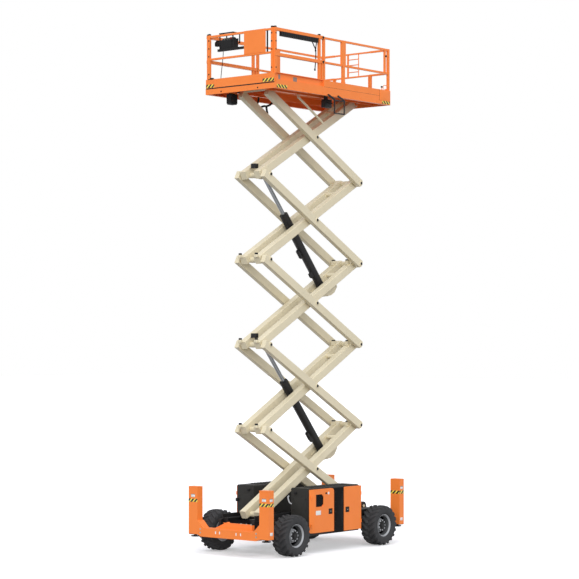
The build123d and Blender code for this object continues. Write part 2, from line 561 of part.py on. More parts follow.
CABLE_R, GLAND_R = 7, 15         # cable from the control box down to the sliding deck
CABLE_FROM = (1740, -555, TOP_Z + 815)
CABLE_TO = (1740, -624, DECK_Z + 40)
with BuildPart() as extension_deck:
    block(EXT_X, XF - 10, -860, 860, DECK_Z + 6, DECK_Z + 20)
    block(XF - 18, XF, -DECK_HALF + 6, DECK_HALF - 6, DECK_Z - 50, TOE_Z)
    block(XF - 34, XF - 18, -DECK_HALF + 6, DECK_HALF - 6, TOE_Z - 12, TOE_Z)
    for side in (-1, 1):
        y0, y1 = sorted((side * 858, side * 870))
        block(EXT_X, XF - 10, y0, y1, DECK_Z + 6, TOE_Z)
        y0, y1 = sorted((side * 846, side * 858))
        block(EXT_X, XF - 10, y0, y1, TOE_Z - 10, TOE_Z)
    bar_z(*CABLE_TO[:2], GLAND_R, DECK_Z + 20, CABLE_TO[2])
save(extension_deck, "extension_deck")

EXT_POST_X = (433, 1819)
PANEL_Y, PANEL_Z = (110, 674), (TOP_Z + 660, TOP_Z + 1124)
with BuildPart() as extension_rails:
    for side in (-1, 1):
        y = side * SIDE_Y
        inner = side * 868
        for x in EXT_POST_X:
            block(x - POST, x + POST, y - POST, y + POST, TOE_Z + 12, RAIL_TOP + SLEEVE)
        block(EXT_POST_X[0] - 110, EXT_POST_X[0] - 62, y - POST, y + POST, TOE_Z + 12, RAIL_MID)
        for z in (RAIL_TOP, RAIL_MID):
            block(EXT_POST_X[0] - 112, XF - 20, y - SLEEVE, y + SLEEVE, z - SLEEVE, z + SLEEVE)
        for z in (RAIL_TOP, RAIL_MID):
            block(EXT_POST_X[0] - 120, 1780, y - SLEEVE_BORE, y + SLEEVE_BORE, z - SLEEVE_BORE,
                  z + SLEEVE_BORE, Mode.SUBTRACT)
        ya, yb = sorted((inner, side * (SIDE_Y + POST)))
        block(EXT_POST_X[0] - 112, XF - 20, ya, yb, TOE_Z, TOE_Z + 12)
        block(XF - 50, XF - 2, side * 835 - POST, side * 835 + POST, TOE_Z, RAIL_TOP + SLEEVE)
        ya, yb = sorted((side * 835, y))
        for z in (RAIL_TOP, FRONT_MID):
            block(XF - 46, XF - 20, ya, yb, z - TUBE, z + TUBE)
    for z in (RAIL_TOP, FRONT_MID):
        block(XF - 46, XF - 8, -835, 835, z - TUBE, z + TUBE)
    block(XF - 10, XF - 2, *PANEL_Y, *PANEL_Z)
save(extension_rails, "extension_rails")

with BuildPart() as control_box:
    with BuildSketch(side_plane(0, 0, 0, -573)) as console:
        with BuildLine():
            Polyline((1600, TOP_Z + 835), (1800, TOP_Z + 835), (1814, TOP_Z + 1000), (1700, TOP_Z + 1068),
                     (1600, TOP_Z + 1010), (1600, TOP_Z + 835))
        make_face()
    extrude(console.sketch, amount=-297)
    bar_z(*CABLE_FROM[:2], GLAND_R, *CABLE_FROM[2:], TOP_Z + 835)
save(control_box, "control_box")

GUARD_R = 13
with BuildPart() as control_guard:
    for y in (-600, -250):
        bar_z(1790, y, GUARD_R, TOP_Z + 790, RAIL_TOP + 50)
        bar_x(y, RAIL_TOP + 50, GUARD_R, 1572, 1803)
        bar_z(1585, y, GUARD_R, RAIL_TOP - 140, RAIL_TOP + 50)
        block(1790, XF - 46, y - 10, y + 10, RAIL_TOP - TUBE, RAIL_TOP + TUBE)
    bar_y(1585, RAIL_TOP - 140, GUARD_R, -600 - GUARD_R, -250 + GUARD_R)
    bar_y(1790, RAIL_TOP + 50, GUARD_R, -600 - GUARD_R, -250 + GUARD_R)
    block(1774, 1822, -640, 100, TOP_Z + 787, TOP_Z + 835)
save(control_guard, "control_guard")

LINK, LINKS = 58, 20
with BuildPart() as cable_carrier:
    block(492, 492 + LINK * LINKS, 852, SIDE_Y + 29, RAIL_TOP - 122, RAIL_TOP - SLEEVE)
    with Locations([(492 + LINK * (i + 1), 887, RAIL_TOP - 86) for i in range(LINKS - 1)]):
        Box(9, 56, 90, mode=Mode.SUBTRACT)
save(cable_carrier, "cable_carrier")

STEP_Y, STEP_R = 934, 14         # folding step on the left skirt
STEP_Z = (TOP_Z - 407, TOP_Z - 140, TOP_Z - 45)
with BuildPart() as side_step:
    for x in (-330, -8):
        bar_z(x, STEP_Y, STEP_R, STEP_Z[0], STEP_Z[1])
        with BuildSketch(side_plane(x, STEP_Z[1], 0, STEP_Y)) as arm:
            with BuildLine():
                Polyline((-STEP_R, 0), (STEP_R, 0), (205 + STEP_R, 80), (205, 105), (-STEP_R, 22), (-STEP_R, 0))
            make_face()
        extrude(arm.sketch, amount=STEP_R, both=True)
    for z in STEP_Z[:2]:
        bar_x(STEP_Y, z, STEP_R, -330 - STEP_R, -8 + STEP_R)
save(side_step, "side_step")

PROP_Y, PROP_R = 452, 24         # prop that hangs beside the left track, its ends in X and Z
PROP_TOP, PROP_FOOT = (570, TOP_Z - 96), (-240, TOP_Z - 560)
with BuildPart() as service_prop:
    dx, dz = PROP_TOP[0] - PROP_FOOT[0], PROP_TOP[1] - PROP_FOOT[1]
    prop_l = sqrt(dx ** 2 + dz ** 2)
    start = Plane(origin=(PROP_FOOT[0], PROP_Y, PROP_FOOT[1]), x_dir=(0, 1, 0),
                  z_dir=(dx / prop_l, 0, dz / prop_l))
    with BuildSketch(start) as tube:
        Circle(PROP_R)
    extrude(tube.sketch, amount=prop_l)
    with BuildSketch(side_plane(*PROP_TOP, 0, PROP_Y)) as hanger:
        Circle(34)
        with Locations((0, 26)):
            Rectangle(68, 54)
    extrude(hanger.sketch, amount=8, both=True)
save(service_prop, "service_prop")

with BuildPart() as junction_box:
    block(1385, 1585, -605, -485, TOP_Z - 262, TOP_Z - 50)
    chamfer(junction_box.edges().filter_by(Axis.Y).group_by(Axis.Z)[0], 30)
    block(1440, 1540, -580, -510, TOP_Z - 50, DECK_Z - 20)
save(junction_box, "junction_box")


def bend_radii(points):
    """Arc radius at each corner of a route: 0.45 of its shorter run over the tangent of half the turn."""
    radii = []
    for a, b, c in zip(points, points[1:], points[2:]):
        before, after = Vector(*b) - Vector(*a), Vector(*c) - Vector(*b)
        turn = acos(before.normalized().dot(after.normalized()))
        radii.append(0.45 * min(before.length, after.length) / tan(turn / 2))
    return radii


# Each row is a point of the cable's route, straight down out of the box and into the deck.
CABLE_ROUTE = [
    CABLE_FROM,
    (1740, -555, TOP_Z + 735),
    (1737, -572, TOP_Z + 625),
    (1731, -596, TOP_Z + 505),
    (1729, -614, TOP_Z + 385),
    (1735, -623, TOP_Z + 275),
    (1740, -624, TOP_Z + 205),
    CABLE_TO,
]
with BuildPart() as control_cable:
    radii = bend_radii(CABLE_ROUTE)
    with BuildLine() as route:
        FilletPolyline(*CABLE_ROUTE, radius=radii)
    with BuildSketch(Plane(origin=CABLE_FROM, z_dir=(0, 0, -1))):
        Circle(CABLE_R)
    sweep(path=route.wire())
    print("control cable", round(route.wire().length), "mm; radii", [round(r) for r in radii])
save(control_cable, "control_cable")
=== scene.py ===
import bpy
import numpy as np
from math import asin, atan2, cos, pi, radians, sin, sqrt
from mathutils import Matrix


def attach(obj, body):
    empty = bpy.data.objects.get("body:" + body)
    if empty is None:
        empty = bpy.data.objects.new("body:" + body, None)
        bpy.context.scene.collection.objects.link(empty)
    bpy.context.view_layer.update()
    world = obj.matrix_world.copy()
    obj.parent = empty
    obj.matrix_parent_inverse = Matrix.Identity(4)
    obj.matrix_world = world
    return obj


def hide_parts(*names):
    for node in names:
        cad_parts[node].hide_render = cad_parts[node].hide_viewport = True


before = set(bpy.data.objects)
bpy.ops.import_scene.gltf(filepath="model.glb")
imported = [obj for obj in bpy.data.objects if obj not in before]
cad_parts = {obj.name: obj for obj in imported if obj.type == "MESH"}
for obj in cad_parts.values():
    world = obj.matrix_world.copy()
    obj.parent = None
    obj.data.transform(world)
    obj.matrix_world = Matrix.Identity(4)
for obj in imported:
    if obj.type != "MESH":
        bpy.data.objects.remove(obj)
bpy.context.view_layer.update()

# ---------------- sizes shared with the solids (metres)
PIN_Z, LEVEL_H, ARM_L, REAR_X = 0.784, 1.7133, 3.425, -1.588
LEVELS = 5
REST = asin(LEVEL_H / ARM_L)  # slope of the arms at rest
FRONT_X = REAR_X + ARM_L * cos(REST)
TOP_Z = PIN_Z + LEVELS * LEVEL_H
DECK_Z = TOP_Z + 0.110
TOE_Z = DECK_Z + 0.125
SKIRT_Z = TOP_Z - 0.071
RAIL_TOP, RAIL_MID, FRONT_MID = TOP_Z + 1.100, TOP_Z + 0.602, TOP_Z + 0.640
DECK_REAR, DECK_FRONT, DECK_HALF = -1.930, 1.868, 0.920
SIDES, SIGNS = (("left", 1), ("right", -1)), (1, -1)
WHEEL_X = {"front": 1.431, "rear": -1.452}
TYRE_Y, AXLE_Z = 0.970, 0.4175
# Corner, side's sign, x and y of each wheel.
WHEELS = [(f"{end}_{side}", s, x, s * TYRE_Y) for end, x in WHEEL_X.items() for side, s in SIDES]
END_X, JACK_D, JACK_IN, JACK_OUT, JACK_Y = 2.225, 0.155, 0.820, 1.060, 0.94
HOOD_FRONT, DOOR_FACE = 0.860, 1.000


# ---------------- camera, light and floor
def placed(name, data):
    """A new object in the scene."""
    made = bpy.data.objects.new(name, data)
    bpy.context.scene.collection.objects.link(made)
    return made


camera_data = bpy.data.cameras.new("camera")
camera_data.lens = 120.85
camera_data.sensor_width = 36
camera_data.shift_y = 0.0854
camera_data.clip_end = 300
camera = placed("camera", camera_data)
camera.location = (31.171, 25.6085, 4.3248)
camera.rotation_euler = (radians(90), 0, radians(129.685))
bpy.context.scene.camera = camera
bpy.context.scene.view_settings.view_transform = "Standard"


def linear(code):
    """An sRGB hex code as a linear colour with alpha: above 0.04045, ((c + 0.055) / 1.055) to the power 2.4."""
    c = np.array([int(code[i:i + 2], 16) for i in (1, 3, 5)]) / 255
    rgb = np.where(c > 0.04045, ((c + 0.055) / 1.055) ** 2.4, c / 12.92)
    return (*rgb.tolist(), 1.0)


def add(tree, kind, values=None, links=None, **settings):
    """Adds a node. settings are its properties, values its sockets' values, links its sockets' sources."""
    new = tree.nodes.new(kind)
    for key, value in settings.items():
        setattr(new, key, value)
    for key, value in (values or {}).items():
        new.inputs[key].default_value = value
    for key, source in (links or {}).items():
        tree.links.new(source, new.inputs[key])
    return new


def soft_sun(name, towards, strength, spread):
    """A broad, soft lamp far away, shining from the direction given."""
    data = bpy.data.lights.new(name, "SUN")
    data.energy, data.angle = strength, radians(spread)
    lamp = placed(name, data)
    x, y, z = towards
    lamp.rotation_euler = (0, atan2(sqrt(x * x + y * y), z), atan2(y, x))


soft_sun("overhead_softbox", (0.15, 0.1, 0.98), 0.50, 35)
soft_sun("front_softbox", (0.72, 0.61, 0.30), 2.10, 60)


def seen_share(tree):
    """1 for camera, transmission and glossy rays, which show the surroundings, and 0 for other rays."""
    ray = add(tree, "ShaderNodeLightPath")
    share = ray.outputs["Is Camera Ray"]
    for kind in ("Is Transmission Ray", "Is Glossy Ray"):
        share = add(tree, "ShaderNodeMath", operation="MAXIMUM", links={0: share, 1: ray.outputs[kind]}).outputs[0]
    return share


world = bpy.data.worlds.new("studio")
world.use_nodes = True
bpy.context.scene.world = world
sky = world.node_tree
sky.nodes.clear()
fill = add(sky, "ShaderNodeBackground", {"Color": linear("#f4f6ff"), "Strength": 0.82})
backdrop = add(sky, "ShaderNodeBackground", {"Color": (1, 1, 1, 1), "Strength": 1.0})
sky_mix = add(sky, "ShaderNodeMixShader", links={0: seen_share(sky), 1: fill.outputs[0], 2: backdrop.outputs[0]})
add(sky, "ShaderNodeOutputWorld", links={"Surface": sky_mix.outputs[0]})


def new_material(name):
    """An empty node material and its tree."""
    finish = bpy.data.materials.new(name)
    finish.use_nodes = True
    finish.node_tree.nodes.clear()
    return finish, finish.node_tree


# Studio floor: seamless matt vinyl, white to the camera and a dull grey to the light that it throws back.
floor_finish, tree = new_material("studio_floor_vinyl")
pale = add(tree, "ShaderNodeBsdfDiffuse", {"Color": linear("#f2f2f2")})
glow = add(tree, "ShaderNodeEmission", {"Color": (1, 1, 1, 1), "Strength": 0.30})
lit = add(tree, "ShaderNodeAddShader", links={0: pale.outputs[0], 1: glow.outputs[0]})
dull = add(tree, "ShaderNodeBsdfDiffuse", {"Color": linear("#7a7a7a")})
both = add(tree, "ShaderNodeMixShader", links={0: seen_share(tree), 1: dull.outputs[0], 2: lit.outputs[0]})
add(tree, "ShaderNodeOutputMaterial", links={"Surface": both.outputs[0]})
FLOOR_HALF = 140
floor_mesh = bpy.data.meshes.new("studio_floor")
floor_mesh.from_pydata([(x * FLOOR_HALF, y * FLOOR_HALF, 0) for x, y in ((-1, -1), (1, -1), (1, 1), (-1, 1))],
                       [], [(0, 1, 2, 3)])
floor_mesh.materials.append(floor_finish)
floor = placed("studio_floor", floor_mesh)


# ---------------- finishes
def coated(name, colour, worn, rough, peel_mm=18, peel=0.10, mottle=0.35, metallic=0.0, grime="#4a4036",
           grime_share=0.10, shine=0.5):
    """A sprayed or moulded coat: slow change of tone, faint grime in patches, and a fine bump.

    peel_mm is the size of the bump. Real orange peel is about 2 mm; it is drawn coarser so that it shows.
    """
    finish, tree = new_material(name)
    place = add(tree, "ShaderNodeTexCoord").outputs["Object"]
    tone = add(tree, "ShaderNodeTexNoise", {"Scale": 1000 / 420, "Detail": 3.0, "Roughness": 0.6},
               {"Vector": place})
    patch = add(tree, "ShaderNodeTexNoise", {"Scale": 1000 / 95, "Detail": 6.0, "Roughness": 0.7},
                {"Vector": place})
    peel_noise = add(tree, "ShaderNodeTexNoise", {"Scale": 1000 / peel_mm, "Detail": 2.0}, {"Vector": place})
    soft = add(tree, "ShaderNodeMapRange", {"From Min": 0.35, "From Max": 0.75, "To Max": mottle},
               {"Value": tone.outputs[0]})
    base = add(tree, "ShaderNodeMix", {6: linear(colour), 7: linear(worn)}, {0: soft.outputs[0]},
               data_type="RGBA")
    dirt = add(tree, "ShaderNodeMapRange", {"From Min": 0.56, "From Max": 0.80, "To Max": grime_share},
               {"Value": patch.outputs[0]})
    dirty = add(tree, "ShaderNodeMix", {7: linear(grime)}, {0: dirt.outputs[0], 6: base.outputs[2]},
                data_type="RGBA")
    gloss = add(tree, "ShaderNodeMapRange", {"From Min": 0.3, "From Max": 0.7, "To Min": rough - 0.06,
                "To Max": rough + 0.08}, {"Value": patch.outputs[0]})
    bump = add(tree, "ShaderNodeBump", {"Strength": peel, "Distance": 0.002},
               {"Height": peel_noise.outputs[0]})
    shader = add(tree, "ShaderNodeBsdfPrincipled", {"Metallic": metallic, "Specular IOR Level": shine},
                 {"Base Color": dirty.outputs[2], "Roughness": gloss.outputs[0], "Normal": bump.outputs[0]})
    add(tree, "ShaderNodeOutputMaterial", links={"Surface": shader.outputs[0]})
    return finish


# Polyester powder coat on welded steel: an even satin orange that goes slightly brown where it is handled.
orange_coat = coated("orange_powder_coat", "#fb893b", "#f07b2e", 0.42, peel_mm=14, peel=0.08, shine=0.35)
# Two-pack enamel sprayed over the arms: warm ivory, chalky in patches, with grease haze.
cream_coat = coated("cream_enamel", "#e2d7b8", "#d5caa9", 0.46, peel_mm=22, grime_share=0.14)
# Textured charcoal powder coat on the hoods: nearly matt.
charcoal_coat = coated("charcoal_textured_coat", "#2a2926", "#201f1d", 0.62, peel_mm=9, peel=0.25,
                       grime="#5a554c", grime_share=0.12, shine=0.28)
# Black chassis enamel: satin, with dust lying on it.
black_coat = coated("black_chassis_enamel", "#1a1a1b", "#121212", 0.50, grime="#57524a", shine=0.25)
# Glass-filled nylon and rubber mouldings: matt, neutral black.
black_moulding = coated("black_glass_filled_nylon", "#141415", "#0e0e0e", 0.58, peel_mm=6, peel=0.15,
                        grime="#4c4a45", grime_share=0.06, shine=0.22)
# Vulcanised natural rubber: dull, browned by dust between the lugs.
tyre_rubber = coated("vulcanised_tyre_rubber", "#3c3c3d", "#303031", 0.85, peel_mm=10, peel=0.35,
                     grime="#5c5750", grime_share=0.30, shine=0.3)
# Painted shade inside the wheels' barrels: a matt dark grey, dusty.
barrel_shade_coat = coated("grey_barrel_primer", "#525354", "#434445", 0.55, peel_mm=10, peel=0.06, shine=0.3)
# Polyester webbing, sun-faded black.
webbing = coated("black_polyester_webbing", "#242425", "#1b1b1c", 0.80, peel_mm=3, peel=0.35, shine=0.25)
# Near black: painted shade in the front doors' vent openings, and the dark cover of the panel between the doors.
vent_shade_and_dark_panel = coated("near_black_vent_shade_and_panel", "#060708", "#050506", 0.35, peel_mm=60, peel=0.01, grime_share=0.02,
                     shine=0.06)
# Silver wheel enamel: light grey, a little uneven.
wheel_coat = coated("silver_wheel_enamel", "#b6b8ba", "#9c9ea0", 0.38, peel_mm=12, peel=0.06)
# Hard chrome plate on the ram rods: bright and smooth under a film of oil.
hard_chrome = coated("hard_chrome_plate", "#7d8083", "#6c6f72", 0.22, peel_mm=30, peel=0.02, metallic=1.0,
                     grime_share=0.05)
# Zinc plated fasteners: soft grey with a yellow cast.
zinc_plate = coated("zinc_plated_steel", "#b4b0a2", "#98948a", 0.40, peel_mm=8, peel=0.05, metallic=1.0)
# Cast vinyl films: blank white and grey plates.
white_vinyl = coated("white_cast_vinyl", "#eeeeea", "#deded8", 0.45, peel=0.02, grime_share=0.05)
grey_vinyl = coated("grey_cast_vinyl", "#8c8078", "#7a7068", 0.50, peel=0.02)
# Red polycarbonate of the stop button.
red_moulding = coated("red_polycarbonate", "#c22a20", "#a82018", 0.35, peel=0.02)

STRIPE_PITCH, YELLOW_SHARE = 0.094, 0.42  # metres along the film's u for a pair of stripes; the yellow one's share


def hazard_film():
    """Black and yellow cast vinyl: stripes slanted at 45 degrees, ruled across the film's own UV map in metres."""
    finish, tree = new_material("hazard_stripe_vinyl")
    film = add(tree, "ShaderNodeUVMap", uv_map="film")
    axes = add(tree, "ShaderNodeSeparateXYZ", links={0: film.outputs[0]})
    slant = add(tree, "ShaderNodeMath", {}, {0: axes.outputs[0], 1: axes.outputs[1]}, operation="SUBTRACT")
    turns = add(tree, "ShaderNodeMath", {1: 1 / STRIPE_PITCH}, {0: slant.outputs[0]}, operation="MULTIPLY")
    part = add(tree, "ShaderNodeMath", {}, {0: turns.outputs[0]}, operation="FRACT")
    dark = add(tree, "ShaderNodeMath", {1: YELLOW_SHARE}, {0: part.outputs[0]}, operation="GREATER_THAN")
    colour = add(tree, "ShaderNodeMix", {6: linear("#fbe04e"), 7: linear("#191817")}, {0: dark.outputs[0]},
                 data_type="RGBA")
    shader = add(tree, "ShaderNodeBsdfPrincipled", {"Roughness": 0.40}, {"Base Color": colour.outputs[2]})
    add(tree, "ShaderNodeOutputMaterial", links={"Surface": shader.outputs[0]})
    return finish


hazard_vinyl = hazard_film()


def tread_plate():
    """Grey anti-slip paint over tread plate: raised lozenges 25 mm apart, where two crossed waves both peak."""
    finish, tree = new_material("anti_slip_tread_plate")
    place = add(tree, "ShaderNodeTexCoord").outputs["Object"]
    waves = []
    for angle in (45, -45):
        slanted = add(tree, "ShaderNodeMapping", {"Rotation": (0, 0, radians(angle))}, {"Vector": place})
        waves.append(add(tree, "ShaderNodeTexWave", {"Scale": 12.5, "Distortion": 0.0},
                         {"Vector": slanted.outputs[0]}))
    crossed = add(tree, "ShaderNodeMath", {}, {0: waves[0].outputs[1], 1: waves[1].outputs[1]},
                  operation="MULTIPLY")
    raised = add(tree, "ShaderNodeMapRange", {"From Min": 0.45, "From Max": 0.60}, {"Value": crossed.outputs[0]})
    grit = add(tree, "ShaderNodeTexNoise", {"Scale": 1000 / 7, "Detail": 4.0}, {"Vector": place})
    colour = add(tree, "ShaderNodeMix", {6: linear("#5b5a57"), 7: linear("#83817c")}, {0: raised.outputs[0]},
                 data_type="RGBA")
    height = add(tree, "ShaderNodeMath", {}, {0: raised.outputs[0], 1: grit.outputs[0]}, operation="ADD")
    bump = add(tree, "ShaderNodeBump", {"Strength": 0.5, "Distance": 0.003}, {"Height": height.outputs[0]})
    shader = add(tree, "ShaderNodeBsdfPrincipled", {"Roughness": 0.60},
                 {"Base Color": colour.outputs[2], "Normal": bump.outputs[0]})
    add(tree, "ShaderNodeOutputMaterial", links={"Surface": shader.outputs[0]})
    return finish


deck_grip = tread_plate()

FINISH_OF_NODE = {
    orange_coat: ("fixed_rails", "extension_rails", "entry_gate", "platform_skirt", "left_deck_track",
                  "right_deck_track", "rear_hanger", "platform_deck", "extension_deck", "front_jack_beam",
                  "rear_jack_beam", *(f"{side}_{end}_door" for side, _ in SIDES for end in WHEEL_X)),
    cream_coat: (*(f"{kind}_frame_{k}" for kind in ("outer", "inner") for k in range(1, LEVELS + 1)),
                 "service_prop"),
    charcoal_coat: ("left_hood", "right_hood"),
    black_coat: ("chassis_frame", "front_axle", "rear_axle", "left_knuckle", "right_knuckle", "engine",
                 "fluid_tank", "lower_cylinder_barrel", "upper_cylinder_barrel", "side_step",
                 *(f"{corner}_jack_leg" for corner, *_ in WHEELS)),
    black_moulding: ("lower_pads", "upper_pads", "control_box", "control_guard", "cable_carrier",
                     "junction_box"),
    hard_chrome: ("lower_cylinder_rod", "upper_cylinder_rod"),
    wheel_coat: [f"{corner}_rim" for corner, *_ in WHEELS],
}
for finish, names in FINISH_OF_NODE.items():
    for name in names:
        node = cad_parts[name]
        node.data.materials.clear()
        node.data.materials.append(finish)


# ---------------- surfaces
def quads(rows, cols, closed=False):
    """Four-cornered faces between the neighbouring rows of a grid whose columns close on themselves, and whose
    rows do so too if closed."""
    i, j = np.arange(rows if closed else rows - 1)[:, None], np.arange(cols)[None, :]
    next_i, next_j = (i + 1) % rows, (j + 1) % cols
    corners = (i * cols + j, i * cols + next_j, next_i * cols + next_j, next_i * cols + j)
    return np.stack(np.broadcast_arrays(*corners), -1).reshape(-1, 4)


def facing_out(points, four, three, origin):
    """The faces, turned round if the sum of a . (b x c) over them, six times the volume, is negative."""
    halves = np.vstack([three, four[:, :3], four[:, [0, 2, 3]]])
    a, b, c = (points[halves[:, n]] - origin for n in range(3))
    if np.einsum("ij,ij->", a, np.cross(b, c)) < 0:
        return four[:, ::-1], three[:, ::-1]
    return four, three


def skin(rings):
    """Closed skin over rings of points: quads between the rings and a fan to the middle of each end."""
    count, around, _ = rings.shape
    points = np.vstack([rings.reshape(-1, 3), rings[0].mean(0), rings[-1].mean(0)])
    j = np.arange(around)
    after, first, last = (j + 1) % around, count * around, count * around + 1
    three = np.vstack([np.stack([after, j, np.full(around, first)], 1),
                       np.stack([(count - 1) * around + j, (count - 1) * around + after,
                                 np.full(around, last)], 1)])
    return points, *facing_out(points, quads(count, around), three, points[first])


def together(shapes):
    """Several skins as one."""
    starts = np.cumsum([0] + [len(s[0]) for s in shapes])
    return (np.vstack([s[0] for s in shapes]),
            np.vstack([s[1] + n for s, n in zip(shapes, starts)]),
            np.vstack([s[2] + n for s, n in zip(shapes, starts)]))


def repeated(shape, offsets):
    """The same skin at each of a list of offsets."""
    return together([(shape[0] + np.array(o), shape[1], shape[2]) for o in offsets])


def rounded_outline(width, height, radius, steps=5):
    """A rectangle with round corners: four quarter arcs about points set in by the radius."""
    angles = np.linspace(0, pi / 2, steps)
    arcs = [np.stack([sx * (width / 2 - radius) + radius * np.cos(angles + turn),
                      sy * (height / 2 - radius) + radius * np.sin(angles + turn)], 1)
            for sx, sy, turn in ((1, 1, 0), (-1, 1, pi / 2), (-1, -1, pi), (1, -1, 1.5 * pi))]
    return np.vstack(arcs)


def block(low, high, radius=0.004, axis=2):
    """A box with every edge rounded: a rounded outline carried along one axis, drawn in by r(1 - sin a) at
    each end while it advances by r(1 - cos a)."""
    low, high = np.minimum(low, high).astype(float), np.maximum(low, high).astype(float)
    order = [(1, 2, 0), (2, 0, 1), (0, 1, 2)][axis]
    size, middle = (high - low)[list(order)], ((low + high) / 2)[list(order)]
    radius = min(radius, 0.49 * size.min())
    a = np.linspace(0, pi / 2, 4)
    inset = np.concatenate([radius * (1 - np.sin(a)), radius * (1 - np.cos(a))])
    along = np.concatenate([-size[2] / 2 + radius * (1 - np.cos(a)), size[2] / 2 - radius * (1 - np.sin(a))])
    rings = []
    for d, z in zip(inset, along):
        ring = rounded_outline(size[0] - 2 * d, size[1] - 2 * d, max(radius - d, 1e-4))
        rings.append(np.column_stack([ring, np.full(len(ring), z)]))
    rings = np.stack(rings) + middle
    return skin(rings[..., np.argsort(order)])


def pad(x, y, half_x, half_y, z0, z1, radius):
    """A rounded box about a vertical line."""
    return block((x - half_x, y - half_y, z0), (x + half_x, y + half_y, z1), radius)


def basis(axis):
    """Two unit vectors square to an axis and to each other, and the axis."""
    w = np.array(axis, float) / np.linalg.norm(axis)
    u = np.cross(w, (0, 0, 1) if abs(w[2]) < 0.9 else (1, 0, 0))
    u /= np.linalg.norm(u)
    return u, np.cross(w, u), w


def turned(profile, origin, axis, sides=24):
    """A turned form: each (distance along the axis, radius) of the profile swept round the axis."""
    u, v, w = basis(axis)
    t = np.linspace(0, 2 * pi, sides, endpoint=False)
    along, radius = np.array(profile, float).T
    circle = np.cos(t)[:, None] * u + np.sin(t)[:, None] * v
    return skin(np.array(origin) + along[:, None, None] * w + radius[:, None, None] * circle[None])


ACROSS = (0, 1, 0)  # what a rod that stays in a plane of constant y takes as up


def rod(path, radius, sides=12, up=(0, 0, 1)):
    """A round rod along a path: at each point a circle square to the path's direction there."""
    path = np.array(path, float)
    ahead = np.gradient(path, axis=0)
    ahead /= np.linalg.norm(ahead, axis=1)[:, None]
    side = np.cross(ahead, up)
    side /= np.linalg.norm(side, axis=1)[:, None]
    above = np.cross(side, ahead)
    t = np.linspace(0, 2 * pi, sides, endpoint=False)
    circle = np.cos(t)[None, :, None] * side[:, None] + np.sin(t)[None, :, None] * above[:, None]
    return skin(path[:, None] + radius * circle)


def smooth_path(points, samples=32):
    """A path through points, by a cubic Hermite curve with each slope taken from the two neighbours."""
    points = np.array(points, float)
    slope = np.gradient(points, axis=0)
    t = np.linspace(0, len(points) - 1, samples)
    i = np.minimum(t.astype(int), len(points) - 2)
    f = (t - i)[:, None]
    return ((2 * f ** 3 - 3 * f ** 2 + 1) * points[i] + (f ** 3 - 2 * f ** 2 + f) * slope[i]
            + (3 * f ** 2 - 2 * f ** 3) * points[i + 1] + (f ** 3 - f ** 2) * slope[i + 1])


def plate(corners, lift=0.0012):
    """A thin film or plate over four corners: each edge is slightly drawn in at the top, and u and v run in
    metres along its first and last edge."""
    p = np.array(corners, float)
    u, v = p[1] - p[0], p[3] - p[0]
    w = np.cross(u, v)
    w *= lift / np.linalg.norm(w)
    across, tall = np.linalg.norm(u), np.linalg.norm(v)
    middle = np.array((across / 2, tall / 2))
    outline = rounded_outline(across, tall, 0.06 * min(across, tall), 3)
    rings, flat = [], []
    for height, shrink in ((0, 1.0), (0.7, 1.0), (1.0, 0.985)):
        ring = outline * shrink + middle
        rings.append(p[0] + ring[:, :1] * u / across + ring[:, 1:] * v / tall + height * w)
        flat.append(ring)
    return skin(np.stack(rings)), np.vstack([*flat, middle, middle])


def piece(name, shape, finish, body, replaces=(), sharp=38, film=None):
    """Makes a skin or a list of skins an object that rides on a body. Edges sharper than the angle stay sharp."""
    points, four, three = together(shape) if isinstance(shape, list) else shape
    mesh = bpy.data.meshes.new(name)
    mesh.from_pydata(points.tolist(), [], four.tolist() + three.tolist())
    if film is not None:
        layer = mesh.uv_layers.new(name="film")
        corner = np.empty(len(mesh.loops), int)
        mesh.loops.foreach_get("vertex_index", corner)
        layer.data.foreach_set("uv", film[corner].astype(np.float32).ravel())
    mesh.materials.append(finish)
    mesh.shade_smooth()
    mesh.set_sharp_from_angle(angle=radians(sharp))
    made = placed(name, mesh)
    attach(made, body)
    if replaces:
        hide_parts(*replaces)
    return made


# The most frequent looks, each with its slot.
def moulded(name, shape, body):
    piece(name, shape, black_moulding, body)


def black(name, shape, body):
    piece(name, shape, black_coat, body)


def orange(name, shape, body):
    piece(name, shape, orange_coat, body)


def cream(name, shape, body):
    piece(name, shape, cream_coat, body)


def films(name, list_of_corners, finish, body, lift=0.0012, mirror=False):
    """Several plates or films as one piece; mirror lays the film's pattern on the other way round."""
    made = [plate(corners, lift) for corners in list_of_corners]
    ruled = np.vstack([m[1] for m in made]) * ((-1, 1) if mirror else (1, 1))
    piece(name, [m[0] for m in made], finish, body, film=ruled)


def end_face(x, out, y0, y1, z0, z1):
    """Corners of an upright rectangle that faces +X, or -X where out is -1; y0 is less than y1."""
    ya, yb = (y0, y1) if out > 0 else (y1, y0)
    return [(x, ya, z0), (x, yb, z0), (x, yb, z1), (x, ya, z1)]


def side_face(y, s, x0, x1, z0, z1):
    """Corners of an upright rectangle on side s, y from the middle, that faces outward; x0 is less than x1."""
    xa, xb = (x1, x0) if s > 0 else (x0, x1)
    return [(xa, s * y, z0), (xb, s * y, z0), (xb, s * y, z1), (xa, s * y, z1)]


def bolt_heads(places, axis, across=0.024, deep=0.012):
    """Hexagon heads on washers: a six-sided form turned about the axis at each place."""
    washer = turned([(0, across * 0.75), (0.003, across * 0.75)], (0, 0, 0), axis, 16)
    head = turned([(0.003, across / 2), (deep * 0.8, across / 2), (deep, across * 0.42)], (0, 0, 0), axis, 6)
    return repeated(together([washer, head]), places)


